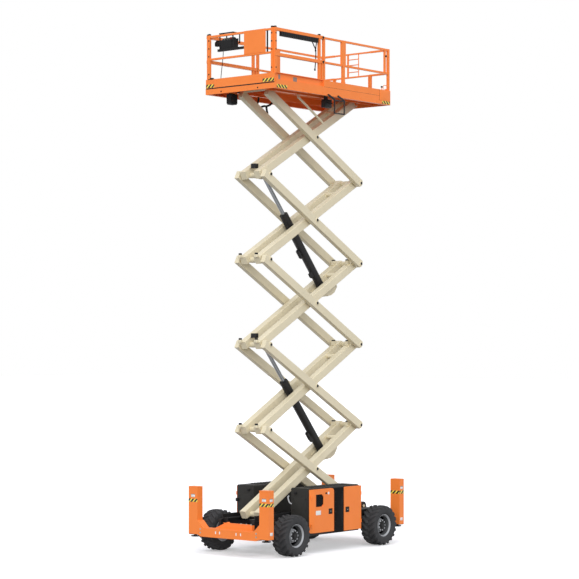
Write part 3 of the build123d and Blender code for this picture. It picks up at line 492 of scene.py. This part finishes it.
# ---------------- the cable of the control box
CABLE_ROUTE = [
    (1.740, -0.555, TOP_Z + 0.815), (1.740, -0.555, TOP_Z + 0.735), (1.737, -0.572, TOP_Z + 0.625),
    (1.731, -0.596, TOP_Z + 0.505), (1.729, -0.614, TOP_Z + 0.385), (1.735, -0.623, TOP_Z + 0.275),
    (1.740, -0.624, TOP_Z + 0.205), (1.740, -0.624, DECK_Z + 0.040),
]
cable_curve = bpy.data.curves.new("control_cable_line", "CURVE")
cable_curve.dimensions = "3D"
cable_spline = cable_curve.splines.new("NURBS")
cable_spline.points.add(len(CABLE_ROUTE) - 1)
for knot, place in zip(cable_spline.points, CABLE_ROUTE):
    knot.co = (*place, 1)
cable_spline.order_u = 3
cable_spline.use_endpoint_u = True
cable_curve.bevel_depth = 0.007
cable_curve.bevel_resolution = 4
cable_curve.use_fill_caps = True
cable_curve.materials.append(black_moulding)
cable = placed("control_cable_line", cable_curve)
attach(cable, "extension")
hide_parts("control_cable")


# ---------------- tyres and wheels
TYRE_HALF, BEAD_R, CROWN_R = 0.1775, 0.233, 0.3832
LUGS, LUG_TALL, LUG_WIDE, LUG_SLANT = 20, 0.0343, 0.058, 0.62  # the slant in pitches for 0.1 m of run
LUG_R = 0.40  # radius at which a lug's width is measured
LUG_START, LUG_END = 0.002, 0.224  # from the middle of the tread to where a lug ends on the shoulder
TYRE_SECTION = np.array([(BEAD_R, 0.148), (0.262, 0.167), (0.300, 0.176), (0.335, 0.177), (0.358, 0.173),
                         (0.370, 0.167), (0.377, 0.154), (0.381, 0.136), (0.3825, 0.108), (0.383, 0.07),
                         (CROWN_R, 0.035)])  # radius, distance from the middle plane


def lugged_tyre(x, y, side, lean):
    """A carcass with a herringbone of lugs. Round the section the carcass goes from bead to bead; the lugs add
    their height where the distance along the tread from a lug's slanted middle line, r(angle - slant |s|),
    is under half a lug's width, faded over 7 mm, and they run down over the shoulder."""
    half = smooth_path(np.column_stack([TYRE_SECTION, np.zeros(len(TYRE_SECTION))]), 26)[:, :2]
    full = np.vstack([half * (1, -1), [(CROWN_R, 0.0)], half[::-1]])
    radius, across = full[:, 0], full[:, 1]
    around = 456
    t = np.linspace(0, 2 * pi, around, endpoint=False)
    run = np.concatenate([[0], np.cumsum(np.hypot(*np.diff(full, axis=0).T))])
    run = np.abs(run - run[len(run) // 2])[:, None]
    stagger = np.where(across < 0, 0.5, 0.0)[:, None]
    turns = (t[None] / (2 * pi) * LUGS + lean * LUG_SLANT * run / 0.1 + stagger) % 1.0
    gap = np.minimum(turns, 1 - turns) * 2 * pi * LUG_R / LUGS
    flank = np.clip((LUG_WIDE / 2 - gap) / 0.007 + 0.5, 0, 1)
    reach = np.clip((run - LUG_START) / 0.008, 0, 1) * np.clip((LUG_END - run) / 0.016, 0, 1)
    tall = LUG_TALL * flank * reach * np.clip(1.18 - run / 0.42, 0, 1)
    outward = np.gradient(full, axis=0)
    outward = np.stack([outward[:, 1], -outward[:, 0]], 1)
    outward /= np.linalg.norm(outward, axis=1)[:, None]
    r = radius[:, None] + outward[:, :1] * tall
    s = np.clip(across[:, None] + outward[:, 1:] * tall * 0.8, -TYRE_HALF, TYRE_HALF)
    rings = np.stack([x + r * np.cos(t), y + side * s * np.ones_like(t), AXLE_Z + r * np.sin(t)], -1)
    inner = np.stack([x + BEAD_R * np.cos(t), y + 0 * t, AXLE_Z + BEAD_R * np.sin(t)], -1)
    points = np.concatenate([rings, inner[None]]).reshape(-1, 3)
    four = quads(len(full) + 1, around, closed=True)
    return points, *facing_out(points, four, np.empty((0, 3), int), (x, y, AXLE_Z))


HUB = [(0, 0.086), (0.012, 0.086), (0.016, 0.080), (0.018, 0.066), (0.034, 0.062), (0.040, 0.054),
       (0.042, 0.030), (0.046, 0.026), (0.046, 0.012)]
NUT_RING = [(0, 0.1175), (0.006, 0.1175), (0.008, 0.108), (0.008, 0.090)]
NUTS, NUT_CIRCLE = 9, 0.101
WINDOWS, WINDOW_CIRCLE, WINDOW_FIRST = 6, 0.150, 0.3
for corner, s, x, y in WHEELS:
    body = f"{corner}_wheel"
    piece(f"{corner}_lugged_tyre", lugged_tyre(x, y, s, -s), tyre_rubber, body,
          (f"{corner}_tyre",), sharp=30)
    face = y + s * 0.084
    black(f"{corner}_hub_cap", turned(HUB, (x, face, AXLE_Z), (0, s, 0), 40), body)
    piece(f"{corner}_nut_ring", turned(NUT_RING, (x, face, AXLE_Z), (0, s, 0), 48), wheel_coat, body)
    angles = np.arange(NUTS) * 2 * pi / NUTS
    spots = [(x + NUT_CIRCLE * cos(a), face + s * 0.008, AXLE_Z + NUT_CIRCLE * sin(a)) for a in angles]
    black(f"{corner}_wheel_nuts", bolt_heads(spots, (0, s, 0), 0.022, 0.016), body)
    # The disc has six shallow oval windows, drawn as solid dark ovals: painted shade in their openings.
    slots = []
    for a in np.arange(WINDOWS) * pi / 3 + WINDOW_FIRST:
        middle = np.array((x + WINDOW_CIRCLE * cos(a), y + s * 0.0255, AXLE_Z + WINDOW_CIRCLE * sin(a)))
        t = np.linspace(0, 2 * pi, 20, endpoint=False)
        radial, tangent = np.array((cos(a), 0, sin(a))), np.array((-sin(a), 0, cos(a)))
        rings = [middle + k * (0.014 * np.cos(t)[:, None] * radial + 0.028 * np.sin(t)[:, None] * tangent)
                 + np.array((0, s * h, 0)) for k, h in ((1.0, -0.004), (1.0, 0.001), (0.8, 0.003), (0.7, 0.0))]
        slots.append(skin(np.stack(rings)))
    black(f"{corner}_window_shade_ovals", slots, body)


# ---------------- scissor stack
def inner_point(k, s, n):
    """A point of inner arm k: s along its pin line away from the front pin, n above the line."""
    return (FRONT_X - s * cos(REST) + n * sin(REST), PIN_Z + (k - 1) * LEVEL_H + s * sin(REST) + n * cos(REST))


MID_X = (FRONT_X + REAR_X) / 2
CAP_Y, BARE_Y = 0.412, 0.400  # faces of the bosses and of the tubes
BORE = [(0, 0.029), (0.003, 0.029), (0.004, 0.025), (0.0015, 0.020), (0.0015, 0.008)]
COLLAR = [(0, 0.050), (0.004, 0.050), (0.007, 0.046), (0.007, 0.039)]
# Rubber stops on welded feet, on the noses and beside the tails of the inner arms. Columns: levels, place on the
# arm, distance from the middle, then for the stop and its foot the name, half sizes, bottom, top and edge radius.
STOPS = (
    (range(2, LEVELS), (-0.150, 0.200), 0.214, ("rubber_stops", 0.024, 0.030, -0.004, 0.034, 0.010),
     ("stop_feet", 0.034, 0.036, -0.060, -0.002, 0.006)),
    (range(1, 4), (ARM_L - 0.145, 0.150), 0.187, ("tail_stops", 0.028, 0.034, 0.008, 0.036, 0.009),
     ("tail_feet", 0.040, 0.040, -0.085, 0.010, 0.008)),
)
for k in range(1, LEVELS + 1):
    spots = [(MID_X, PIN_Z + (k - 0.5) * LEVEL_H)]
    if k > 1:
        spots.append((REAR_X, PIN_Z + (k - 1) * LEVEL_H))
    if k < LEVELS:
        spots.append((FRONT_X, PIN_Z + k * LEVEL_H))
    # Bores of the pins, and collars welded round each pin where it leaves the tube's face.
    for name, profile, y, sides, make in (("pin_bores", BORE, CAP_Y, 20, black),
                                          ("collars", COLLAR, BARE_Y, 28, cream)):
        make(f"outer_frame_{k}_{name}", [turned(profile, (x, s * y, z), (0, s, 0), sides)
                                         for x, z in spots for s in SIGNS], f"outer_{k}")
    for levels, spot, aside, *pads in STOPS:
        if k in levels:
            x, z = inner_point(k, *spot)
            for (name, half_x, half_y, low, high, radius), make in zip(pads, (moulded, cream)):
                make(f"inner_frame_{k}_{name}", [pad(x, s * aside, half_x, half_y, z + low, z + high, radius)
                                                 for s in SIGNS], f"inner_{k}")

# Painted shade up the inside of a rim's barrel: a thin flared dark grey sleeve between the disc and the bright
# flange.
SLEEVE = [(0.034, 0.1895), (0.060, 0.1918), (0.108, 0.1932), (0.120, 0.1965), (0.120, 0.1950), (0.108, 0.1915),
          (0.060, 0.1900), (0.034, 0.1875)]
for corner, s, x, y in WHEELS:
    piece(f"{corner}_barrel_primer", turned(SLEEVE, (x, y, AXLE_Z), (0, s, 0), 56), barrel_shade_coat,
          f"{corner}_wheel")


# ---------------- jack columns
BAND_Z, LABEL_Z, LOW_LABEL_Z = (1.036, 1.102), (1.136, 1.198), (0.470, 0.530)
HEAD_TALL = 0.014  # the dark strip along the top of a plate
JACK_FACES = END_X - JACK_D, END_X  # inner and outer face of a column
for end, sign in (("front", 1), ("rear", -1)):
    inner, outer = (sign * x for x in JACK_FACES)
    middle = (inner + outer) / 2
    bands, plates = [], []
    for s in SIGNS:
        width = sorted((s * JACK_IN, s * JACK_OUT))
        bands += [end_face(outer, sign, *width, *BAND_Z), end_face(inner, -sign, *width, *BAND_Z),
                  side_face(JACK_OUT, s, *sorted((inner, outer)), *BAND_Z)]
        plates += [side_face(JACK_OUT, s, *sorted((sign * 2.105, sign * 2.19)), *LABEL_Z),
                   side_face(JACK_OUT, s, *sorted((sign * 2.10, sign * 2.18)), *LOW_LABEL_Z)]
        if sign > 0:
            plates.append(end_face(outer, 1, s * JACK_Y - 0.052, s * JACK_Y + 0.052, *LABEL_Z))
    films(f"{end}_jack_hazard_bands", bands, hazard_vinyl, "chassis")
    films(f"{end}_jack_blank_plates", plates, white_vinyl, "chassis", lift=0.0016)
    raised = np.array((0, 0, LABEL_Z[1] - LABEL_Z[0] - HEAD_TALL))
    strips = [[c[0] + raised, c[1] + raised, c[2], c[3]] for c in plates if c[0][2] == LABEL_Z[0]]
    films(f"{end}_jack_plate_heads", strips, grey_vinyl, "chassis", lift=0.0026)
    orange(f"{end}_jack_column_lids", [block((inner - sign * 0.003, s * JACK_Y - 0.123, 1.338),
                                             (outer + sign * 0.003, s * JACK_Y + 0.123, 1.352), 0.005)
                                       for s in SIGNS], "chassis")
    black(f"{end}_jack_wiper_plates", [pad(middle, s * JACK_Y, 0.076, 0.118, 0.380, 0.393, 0.004)
                                       for s in SIGNS], "chassis")


# ---------------- front beam and tray
slot_rims = []
t = np.linspace(0, 2 * pi, 28, endpoint=False)
slot_y, slot_z = 0.015 * np.cos(t), 0.016 * np.sign(np.sin(t)) + 0.015 * np.sin(t)
for y in (-0.332, -0.225, 0.213, 0.331):
    slot_rims.append(skin(np.stack([
        np.column_stack([np.full(28, END_X + h), y + g * slot_y, 0.455 + g * slot_z])
        for h, g in ((-0.006, 0.97), (-0.002, 0.97), (-0.002, 0.9), (-0.0055, 0.9))])))
piece("front_beam_slot_backs", slot_rims, white_vinyl, "chassis")
orange("front_tray_strip", block((1.985, -0.30, 0.6285), (2.035, 0.42, 0.640), 0.004), "chassis")
piece("front_tray_bolts", bolt_heads([(2.01, y, 0.6285) for y in (0.16, 0.30, 0.42)], (0, 0, 1), 0.036, 0.022),
      zinc_plate, "chassis")
for end, sign, y in (("front", 1, 0.74), ("rear", -1, 0.70)):
    spots = [(sign * END_X, s * y, z) for s in (-1, 1) for z in (0.43, 0.50)]
    piece(f"{end}_beam_bolts", bolt_heads(spots, (sign, 0, 0), 0.026, 0.012), zinc_plate, "chassis")


# ---------------- hoods and doors
PANE = np.array([(0.676, 1.182), (0.434, 1.182), (0.434, 0.990), (0.489, 0.935), (0.676, 0.935)])  # x, z
PANE_STEPS = ((-0.016, 1.0), (-0.010, 1.0), (-0.008, 0.97), (-0.010, 0.93), (-0.0125, 0.92))  # depth, scale
BUTTON = [(0, 0.020), (0.006, 0.020), (0.008, 0.017), (0.016, 0.017), (0.022, 0.012), (0.023, 0.004)]
DIAL = [(0, 0.028), (0.002, 0.028), (0.003, 0.024), (0.003, 0.008)]
LOCK = [(0, 0.010), (0.004, 0.010), (0.005, 0.007), (0.003, 0.003)]
FRONT_KNOB = [(0, 0.016), (0.010, 0.016), (0.014, 0.026), (0.034, 0.028), (0.040, 0.022), (0.041, 0.008)]
PANEL_FACE = 0.992
for side, s in SIDES:
    door, face = f"{side}_front_door", s * DOOR_FACE
    # A near-black pane with a cut lower corner and a stepped edge, behind near-black slats: painted shade in the
    # door's vent opening onto the engine bay.
    centre = PANE.mean(0)
    pane = skin(np.stack([np.column_stack([centre[0] + g * (PANE[:, 0] - centre[0]), np.full(5, face + s * h),
                                           centre[1] + g * (PANE[:, 1] - centre[1])]) for h, g in PANE_STEPS]))
    slats = [block((0.452, face - s * 0.0125, z), (0.660, face - s * 0.006, z + 0.012), 0.003)
             for z in (1.00, 1.035, 1.07, 1.105, 1.14)]
    piece(f"{side}_door_vent_shade", [pane] + slats, vent_shade_and_dark_panel, door, sharp=25)
    # Latches: a cup sunk in the door with a paddle across it.
    for leaf, x in ((door, 0.202), (f"{side}_rear_door", -0.354)):
        moulded(f"{leaf}_latch_cup", block((x - 0.063, face - s * 0.0155, 0.765),
                                           (x + 0.063, face - s * 0.004, 0.875), 0.008, 1), leaf)
        black(f"{leaf}_latch_paddle", block((x - 0.050, face - s * 0.006, 0.800),
                                            (x + 0.050, face + s * 0.004, 0.842), 0.006, 1), leaf)
        piece(f"{leaf}_latch_lock", turned(LOCK, (x, face + s * 0.003, 0.821), (0, s, 0), 16), zinc_plate, leaf)
    moulded(f"{side}_door_button", turned(BUTTON, (0.352, face, 1.196), (0, s, 0), 24), door)
    piece(f"{side}_door_dial", turned(DIAL, (0.272, face, 1.194), (0, s, 0), 28), white_vinyl, door)
    films(f"{side}_door_blank_plate", [side_face(DOOR_FACE, s, 0.52, 0.68, 0.768, 0.856)], white_vinyl, door)
    # Panel between the doors: a dark cover with four pressed ribs and a row of bolts down each edge.
    panel = s * PANEL_FACE
    ribs = [block((-0.232, panel - s * 0.001, 0.385), (0.080, panel + s * 0.0025, 1.286), 0.002, 1)]
    ribs += [block((-0.222, panel - s * 0.002, z), (0.070, panel + s * 0.006, z + 0.016), 0.004)
             for z in (0.50, 0.70, 0.90, 1.10)]
    ribs += [block((x - 0.004, panel - s * 0.002, 0.39), (x + 0.004, panel + s * 0.003, 1.28), 0.002)
             for x in (-0.205, 0.053)]
    piece(f"{side}_hood_panel_ribs", ribs, vent_shade_and_dark_panel, "chassis")
    spots = [(x, panel + s * 0.002, z) for x in (-0.190, 0.038) for z in (0.44, 0.60, 0.80, 1.00, 1.20)]
    black(f"{side}_hood_panel_bolts", bolt_heads(spots, (0, s, 0), 0.014, 0.007), "chassis")
    # Front wall of the hood: a dark knob and a raised service cover.
    knob = turned(FRONT_KNOB, (HOOD_FRONT, s * 0.628, 1.211), (1, 0, 0), 28)
    moulded(f"{side}_hood_front_knob", knob, "chassis")
    cover = block((HOOD_FRONT - 0.002, s * 0.54, 0.62), (HOOD_FRONT + 0.006, s * 0.90, 1.12), 0.006, 0)
    piece(f"{side}_hood_front_cover", cover, charcoal_coat, "chassis")
    spots = [(HOOD_FRONT + 0.006, s * y, z) for y in (0.56, 0.88) for z in (0.65, 0.87, 1.09)]
    black(f"{side}_hood_cover_bolts", bolt_heads(spots, (1, 0, 0), 0.016, 0.008), "chassis")
    # Top of the hood: a raised louvre plate with twelve slats across it.
    louvre = [block((-0.60, s * 0.60, 1.311), (0.62, s * 0.86, 1.319), 0.004)]
    louvre += [block((x - 0.030, s * 0.62, 1.316), (x + 0.030, s * 0.84, 1.330), 0.006)
               for x in np.linspace(-0.52, 0.54, 12)]
    piece(f"{side}_hood_top_louvre", louvre, charcoal_coat, "chassis")
    # Rubber seals in the joints above and between the doors.
    seals = [block((-0.80, s * 0.950, 1.288), (0.84, s * 0.958, 1.296), 0.003)]
    seals += [block((x, s * 0.955, 0.42), (x + 0.004, s * 0.968, 1.28), 0.002) for x in (0.087, -0.243)]
    moulded(f"{side}_door_seals", seals, "chassis")

pipe = rod(smooth_path([(0.845, 0.432, 1.140), (0.876, 0.432, 1.120), (0.884, 0.452, 1.060), (0.878, 0.482, 1.005),
                        (0.846, 0.515, 0.985)], 30), 0.014)
piece("hood_vent_pipe", pipe, wheel_coat, "chassis")
stalk = rod(smooth_path([(0.852, -0.90, 1.01), (0.875, -0.915, 1.02), (0.880, -0.93, 1.01)], 10), 0.009)
moulded("right_hood_beacon_bracket", [stalk, block((0.862, -0.965, 0.965), (0.905, -0.905, 1.035), 0.012)],
        "chassis")


# ---------------- platform
PATCH_Z, LOW_PATCH_Z = (TOP_Z + 0.066, TOP_Z + 0.134), (TOP_Z - 0.058, TOP_Z + 0.010)
films("front_hazard_patches", [end_face(DECK_FRONT, 1, *width, *PATCH_Z)
                               for width in ((-0.905, -0.690), (0.600, 0.900))], hazard_vinyl, "extension")
films("side_hazard_patches", [side_face(DECK_HALF + 0.0002, s, x0, x1, *LOW_PATCH_Z) for s in SIGNS
                              for x0, x1 in ((1.490, 1.810), (-1.915, -1.640))],
      hazard_vinyl, "platform", mirror=True)
# A thin black strip along the front of the skirt, under the sliding deck: painted shadow of the joint.
moulded("sliding_deck_shadow_strip", block((DECK_FRONT - 0.006, -0.905, TOP_Z + 0.037),
                                   (DECK_FRONT + 0.0012, 0.905, TOP_Z + 0.0590), 0.001), "platform")
films("toe_board_blank_plates", [side_face(0.8702, s, x0, x1, TOP_Z + 0.118, TOP_Z + h) for s in SIGNS
                                 for x0, x1, h in ((1.125, 1.245, 0.205), (1.645, 1.705, 0.215))],
      grey_vinyl, "extension")

moulded("post_caps", [pad(x, s * y, 0.027, 0.027, RAIL_TOP + 0.0305, RAIL_TOP + 0.062, 0.013)
                      for x, y in ((1.842, 0.835), (1.819, 0.884), (0.433, 0.884)) for s in SIGNS], "extension")
# Wipers at the mouths of the rails' sleeves, each a frame of four strips that overlap at the corners.
OUT, IN = 0.034, 0.0262
wipers = [block((0.319, s * 0.883 + y0, z + z0), (0.329, s * 0.883 + y1, z + z1), 0.003)
          for s in SIGNS for z in (RAIL_TOP, RAIL_MID)
          for y0, y1, z0, z1 in ((-OUT, -IN, -OUT, OUT), (IN, OUT, -OUT, OUT), (-OUT, OUT, IN, OUT),
                                 (-OUT, OUT, -OUT, -IN))]
moulded("rail_sleeve_wipers", wipers, "extension")

orange("skirt_side_bolts", [bolt_heads([(x, s * DECK_HALF, TOP_Z - 0.020)
                                        for x in (1.28, 0.98, 0.35, -0.25, -0.90, -1.45)], (0, s, 0), 0.020, 0.008)
                            for s in SIGNS], "platform")
piece("skirt_front_bolts", bolt_heads([(DECK_FRONT, y, TOP_Z - 0.030) for y in (-0.50, 0.47)], (1, 0, 0),
                                      0.022, 0.008), black_coat, "platform")
post_bolts = [bolt_heads([(x, s * y, TOP_Z + z)], axis, 0.020, 0.009) for s in SIGNS
              for z in (0.34, 0.70, 0.86, 1.02)
              for x, y, axis in ((1.819, 0.908, (0, s, 0)), (1.8665, 0.835, (1, 0, 0)))]
piece("corner_post_bolts", post_bolts, black_coat, "extension")

wraps, seams = [], []
for s in SIGNS:
    y = s * (DECK_HALF - 0.001)
    wraps += [block((DECK_REAR + 0.001, y, TOP_Z + 0.004), (-1.557, s * (DECK_HALF + 0.0032), TOP_Z + 0.231),
                    0.002, 1),
              block((DECK_REAR + 0.004, y, SKIRT_Z + 0.001),
                    (DECK_FRONT - 0.06, s * (DECK_HALF + 0.004), SKIRT_Z + 0.012), 0.003, 0)]
    seams += [block((x0, y, TOP_Z + z0), (x1, s * (DECK_HALF + 0.0008), TOP_Z + z1), 0.001)
              for x0, x1, z0, z1 in ((-1.552, -1.546, 0.004, 0.231), (-1.56, 0.31, 0.100, 0.104))]
orange("skirt_corner_wraps", wraps, "platform")
piece("skirt_seams", seams, black_coat, "platform")

# Foot switch on the front toe board: a rubber-topped pedal under a hood.
moulded("foot_switch", [block((1.800, -0.860, TOE_Z - 0.014), (1.868, -0.700, TOE_Z + 0.010), 0.006),
                        block((1.806, -0.850, TOE_Z + 0.006), (1.862, -0.745, TOE_Z + 0.034), 0.012)], "extension")
moulded("front_document_clamp", block((1.844, 0.698, FRONT_MID + 0.018), (1.864, 0.730, RAIL_TOP - 0.018), 0.006),
        "extension")
POST_KNOB = [(0, 0.009), (0.010, 0.009), (0.012, 0.019), (0.026, 0.021), (0.032, 0.015), (0.033, 0.005)]
for name, x, y, heights, body in (("left_post_knobs", 0.352, 0.914, (RAIL_MID, RAIL_TOP), "extension"),
                                  ("corner_post_knobs", -1.780, 0.903, (TOP_Z + 0.957,), "platform")):
    moulded(name, [turned(POST_KNOB, (x, s * y, z), (0, s, 0), 20) for z in heights for s in SIGNS], body)
# Bent pin with its knob at the rear of the deck: x, height above the top of the toe board.
PIN_LOOP = ((-1.690, -0.01), (-1.692, 0.070), (-1.720, 0.098), (-1.800, 0.100), (-1.835, 0.075), (-1.840, -0.01))
PIN_KNOB = [(0, 0.008), (0.006, 0.019), (0.018, 0.024), (0.032, 0.019), (0.038, 0.008)]
for side, s in SIDES:
    y = s * 0.912
    loop = rod(smooth_path([(x, y, TOE_Z + h) for x, h in PIN_LOOP], 40), 0.007, up=ACROSS)
    shank = rod([(-1.640, y, TOE_Z + h) for h in (-0.01, 0.02, 0.045)], 0.008, up=ACROSS)
    orange(f"{side}_deck_pin_loop", [loop, shank], "platform")
    moulded(f"{side}_deck_pin_knob", turned(PIN_KNOB, (-1.640, y, TOE_Z + 0.040), (0, 0, 1), 20), "platform")

# Extra tubes of the gate: three level ones and an upright.
GATE_X, GATE_Y = DECK_REAR + 0.032, (-0.178, 0.097)
bars = [rod([(GATE_X, y, TOP_Z + h) for y in (GATE_Y[0], sum(GATE_Y) / 2, GATE_Y[1])], 0.010)
        for h in (0.714, 0.865, 0.985)]
bars.append(rod([(GATE_X, GATE_Y[1], z) for z in (RAIL_MID + 0.01, TOP_Z + 0.85, RAIL_TOP - 0.01)], 0.010,
                up=ACROSS))
orange("gate_inner_bars", bars, "gate")

# Under the deck: a valve box on a hanger, and bent steel hose hooks.
VALVE_KNOB = [(0, 0.018), (0.02, 0.018), (0.024, 0.012), (0.05, 0.012)]
valve = [block((-0.330, 0.490, TOP_Z - 0.250), (-0.120, 0.610, TOP_Z - 0.080), 0.010),
         block((-0.250, 0.535, TOP_Z - 0.085), (-0.150, 0.565, TOP_Z + 0.062), 0.004)]
valve += [turned(VALVE_KNOB, (x, 0.61, TOP_Z - 0.16), (0, 1, 0), 16) for x in (-0.28, -0.22, -0.16)]
black("deck_valve_box", valve, "platform")
HOOK_Y = -0.560
HOOKS = (  # x, height above the top of the stack
    ((0.633, 0.080), (0.633, 0.000), (0.636, -0.080), (0.663, -0.140), (0.698, -0.190)),
    ((0.194, 0.080), (0.194, -0.040), (0.208, -0.105), (0.288, -0.160), (0.383, -0.202), (0.352, -0.341)),
    ((0.368, -0.198), (0.448, -0.192), (0.540, -0.216)))
black("hose_hooks", [rod(smooth_path([(x, HOOK_Y, TOP_Z + h) for x, h in hook], 26), 0.022, up=ACROSS)
                     for hook in HOOKS], "platform")

# Controls: a hand control on an arm, a joystick, a mushroom button, three switches and a visor on the console.
GRIP = [(-0.055, 0.010), (-0.050, 0.021), (0.010, 0.024), (0.050, 0.020), (0.062, 0.008)]
moulded("hand_control_pod", [
    block((1.655, -0.790, TOP_Z + 0.915), (1.745, -0.690, TOP_Z + 1.010), 0.016),
    block((1.672, -0.772, TOP_Z + 1.005), (1.728, -0.708, TOP_Z + 1.040), 0.012),
    rod([(1.700, y, TOP_Z + 0.950) for y in (-0.700, -0.630, -0.566)], 0.016)], "extension")
moulded("joystick", [
    rod([(1.700, -0.560, TOP_Z + 0.925), (1.705, -0.610, TOP_Z + 0.930), (1.712, -0.660, TOP_Z + 0.935)], 0.013),
    turned(GRIP, (1.715, -0.668, TOP_Z + 0.940), (0.25, -0.2, 0.95), 20)], "extension")
CONSOLE_UP = np.array((0.512, 0, 0.859))  # square to the console's sloping face


def on_console(t, y):
    """A point of the console's face, t of the way up its slope."""
    return np.array((1.814 - 0.114 * t, y, TOP_Z + 1.000 + 0.068 * t))


MUSHROOM = [(0, 0.014), (0.014, 0.014), (0.016, 0.022), (0.024, 0.023), (0.030, 0.016), (0.031, 0.005)]
SWITCH = [(0, 0.010), (0.006, 0.010), (0.007, 0.004), (0.024, 0.003), (0.025, 0.001)]
piece("stop_button", turned(MUSHROOM, on_console(0.5, -0.325), CONSOLE_UP, 24), red_moulding, "extension")
piece("toggle_switches", [turned(SWITCH, on_console(0.45, y), CONSOLE_UP, 16) for y in (-0.40, -0.45, -0.50)],
      zinc_plate, "extension")
moulded("console_visor", block((1.596, -0.580, TOP_Z + 1.000), (1.606, -0.270, TOP_Z + 1.052), 0.004), "extension")

# Anti-slip plates laid on the fixed deck and on the sliding deck.
for name, x0, x1, half, low, body in (("fixed", DECK_REAR + 0.055, 0.320, 0.850, -0.0005, "platform"),
                                      ("sliding", 0.340, 1.845, 0.842, 0.0195, "extension")):
    plates = block((x0, -half, DECK_Z + low), (x1, half, DECK_Z + low + 0.003), 0.001)
    piece(f"{name}_deck_grip", plates, deck_grip, body)


# ---------------- cabinets, brackets and valves
# Battery and valve cabinet over the rear axle on each side, with its lid.
for side, s in SIDES:
    y = s * 0.635
    black(f"{side}_axle_cabinet", [
        block((-1.690, y - 0.125, 0.535), (-0.830, y + 0.125, 0.740), 0.012),
        block((-1.696, y - 0.131, 0.732), (-0.824, y + 0.131, 0.757), 0.006)], "chassis")

# Brackets between the inner arms that carry the rod ends, and gussets under the barrels' feet.
for k in (3, 5):
    x, z = inner_point(k, 0.060, 0.172)
    black(f"inner_frame_{k}_rod_bracket", pad(x, 0, 0.055, 0.060, z - 0.045, z + 0.050, 0.012), f"inner_{k}")
GUSSET = ((2.06, -0.070), (2.52, -0.262), (2.66, -0.268), (2.80, -0.200), (2.80, -0.070))  # along, above the arm
for k in (1, 3):
    outline = np.array([inner_point(k, a, n) for a, n in GUSSET])
    cream(f"inner_frame_{k}_foot_gussets", [
        skin(np.stack([np.column_stack([outline[:, 0], np.full(5, s * 0.095 + h), outline[:, 1]])
                       for h in (-0.008, 0.008)])) for s in SIGNS], f"inner_{k}")

# Holding valves on the fronts of the two barrels: a six-sided body along the barrel, on a round stub.
TILT = radians(49.99)
UP_BARREL, OFF_BARREL = np.array((cos(TILT), 0, sin(TILT))), np.array((sin(TILT), 0, -cos(TILT)))
VALVE_OFF = 0.128
for number, level, up in (("lower", 1, 0.670), ("upper", 3, 1.140)):
    foot = np.array((-0.834, 0, 1.863 + (level - 1) * LEVEL_H))
    shapes = []
    for radius, sides, spots in (
            (0.040, 6, [(up + a, VALVE_OFF) for a in (-0.085, 0, 0.085)]),
            (0.022, 16, [(up + a, VALVE_OFF) for a in (-0.108, 0, 0.108)]),
            (0.030, 16, [(up, off) for off in (0.0855, 0.105, 0.126)])):
        shapes.append(rod([foot + a * UP_BARREL + n * OFF_BARREL for a, n in spots], radius, sides, up=ACROSS))
    black(f"{number}_holding_valve", shapes, f"{number}_barrel")


# ---------------- straps on the left rail
def strap(path, width, thick):
    """A flat band along a path in a plane of constant y: at each sample a rectangle, wide along the path's normal
    in that plane and thick across it, the corners rounded off."""
    along = np.gradient(path, axis=0)
    along /= np.linalg.norm(along, axis=1)[:, None]
    wide = np.stack([-along[:, 2], 0 * along[:, 0], along[:, 0]], 1)
    corners = ((1, 0.4), (0.97, 1), (-0.97, 1), (-1, 0.4), (-1, -0.4), (-0.97, -1), (0.97, -1), (1, -0.4))
    return skin(np.stack([path + a * width / 2 * wide + np.array((0, b * thick / 2, 0)) for a, b in corners], 1))


STRAP_WIDE, STRAP_THICK = 0.030, 0.003
LONG_STRAP = [(0.655, 0.856, RAIL_TOP - 0.058), (0.580, 0.856, TOP_Z + 0.930), (0.512, 0.856, TOP_Z + 0.830),
              (0.508, 0.856, TOP_Z + 0.660), (0.535, 0.856, TOP_Z + 0.425)]
SHORT_STRAP = [(0.462, 0.852, RAIL_TOP - 0.058), (0.490, 0.852, TOP_Z + 0.935), (0.507, 0.852, TOP_Z + 0.830)]
for name, path in (("long_rail_strap", LONG_STRAP), ("short_rail_strap", SHORT_STRAP)):
    path = smooth_path(path, 40)
    band = piece(name, strap(path, STRAP_WIDE, STRAP_THICK), webbing, "extension")
moulded("rail_strap_fittings", [
    block((x - half, y0, z0), (x + half, y1, z1), radius) for x, half, y0, y1, z0, z1, radius in (
        (0.655, 0.022, 0.846, 0.866, RAIL_TOP - 0.066, RAIL_TOP - 0.016, 0.005),
        (0.462, 0.022, 0.842, 0.862, RAIL_TOP - 0.066, RAIL_TOP - 0.016, 0.005),
        (0.512, 0.020, 0.849, 0.863, TOP_Z + 0.800, TOP_Z + 0.836, 0.004),
        (0.535, 0.020, 0.850, 0.862, TOP_Z + 0.408, TOP_Z + 0.452, 0.004))], "extension")
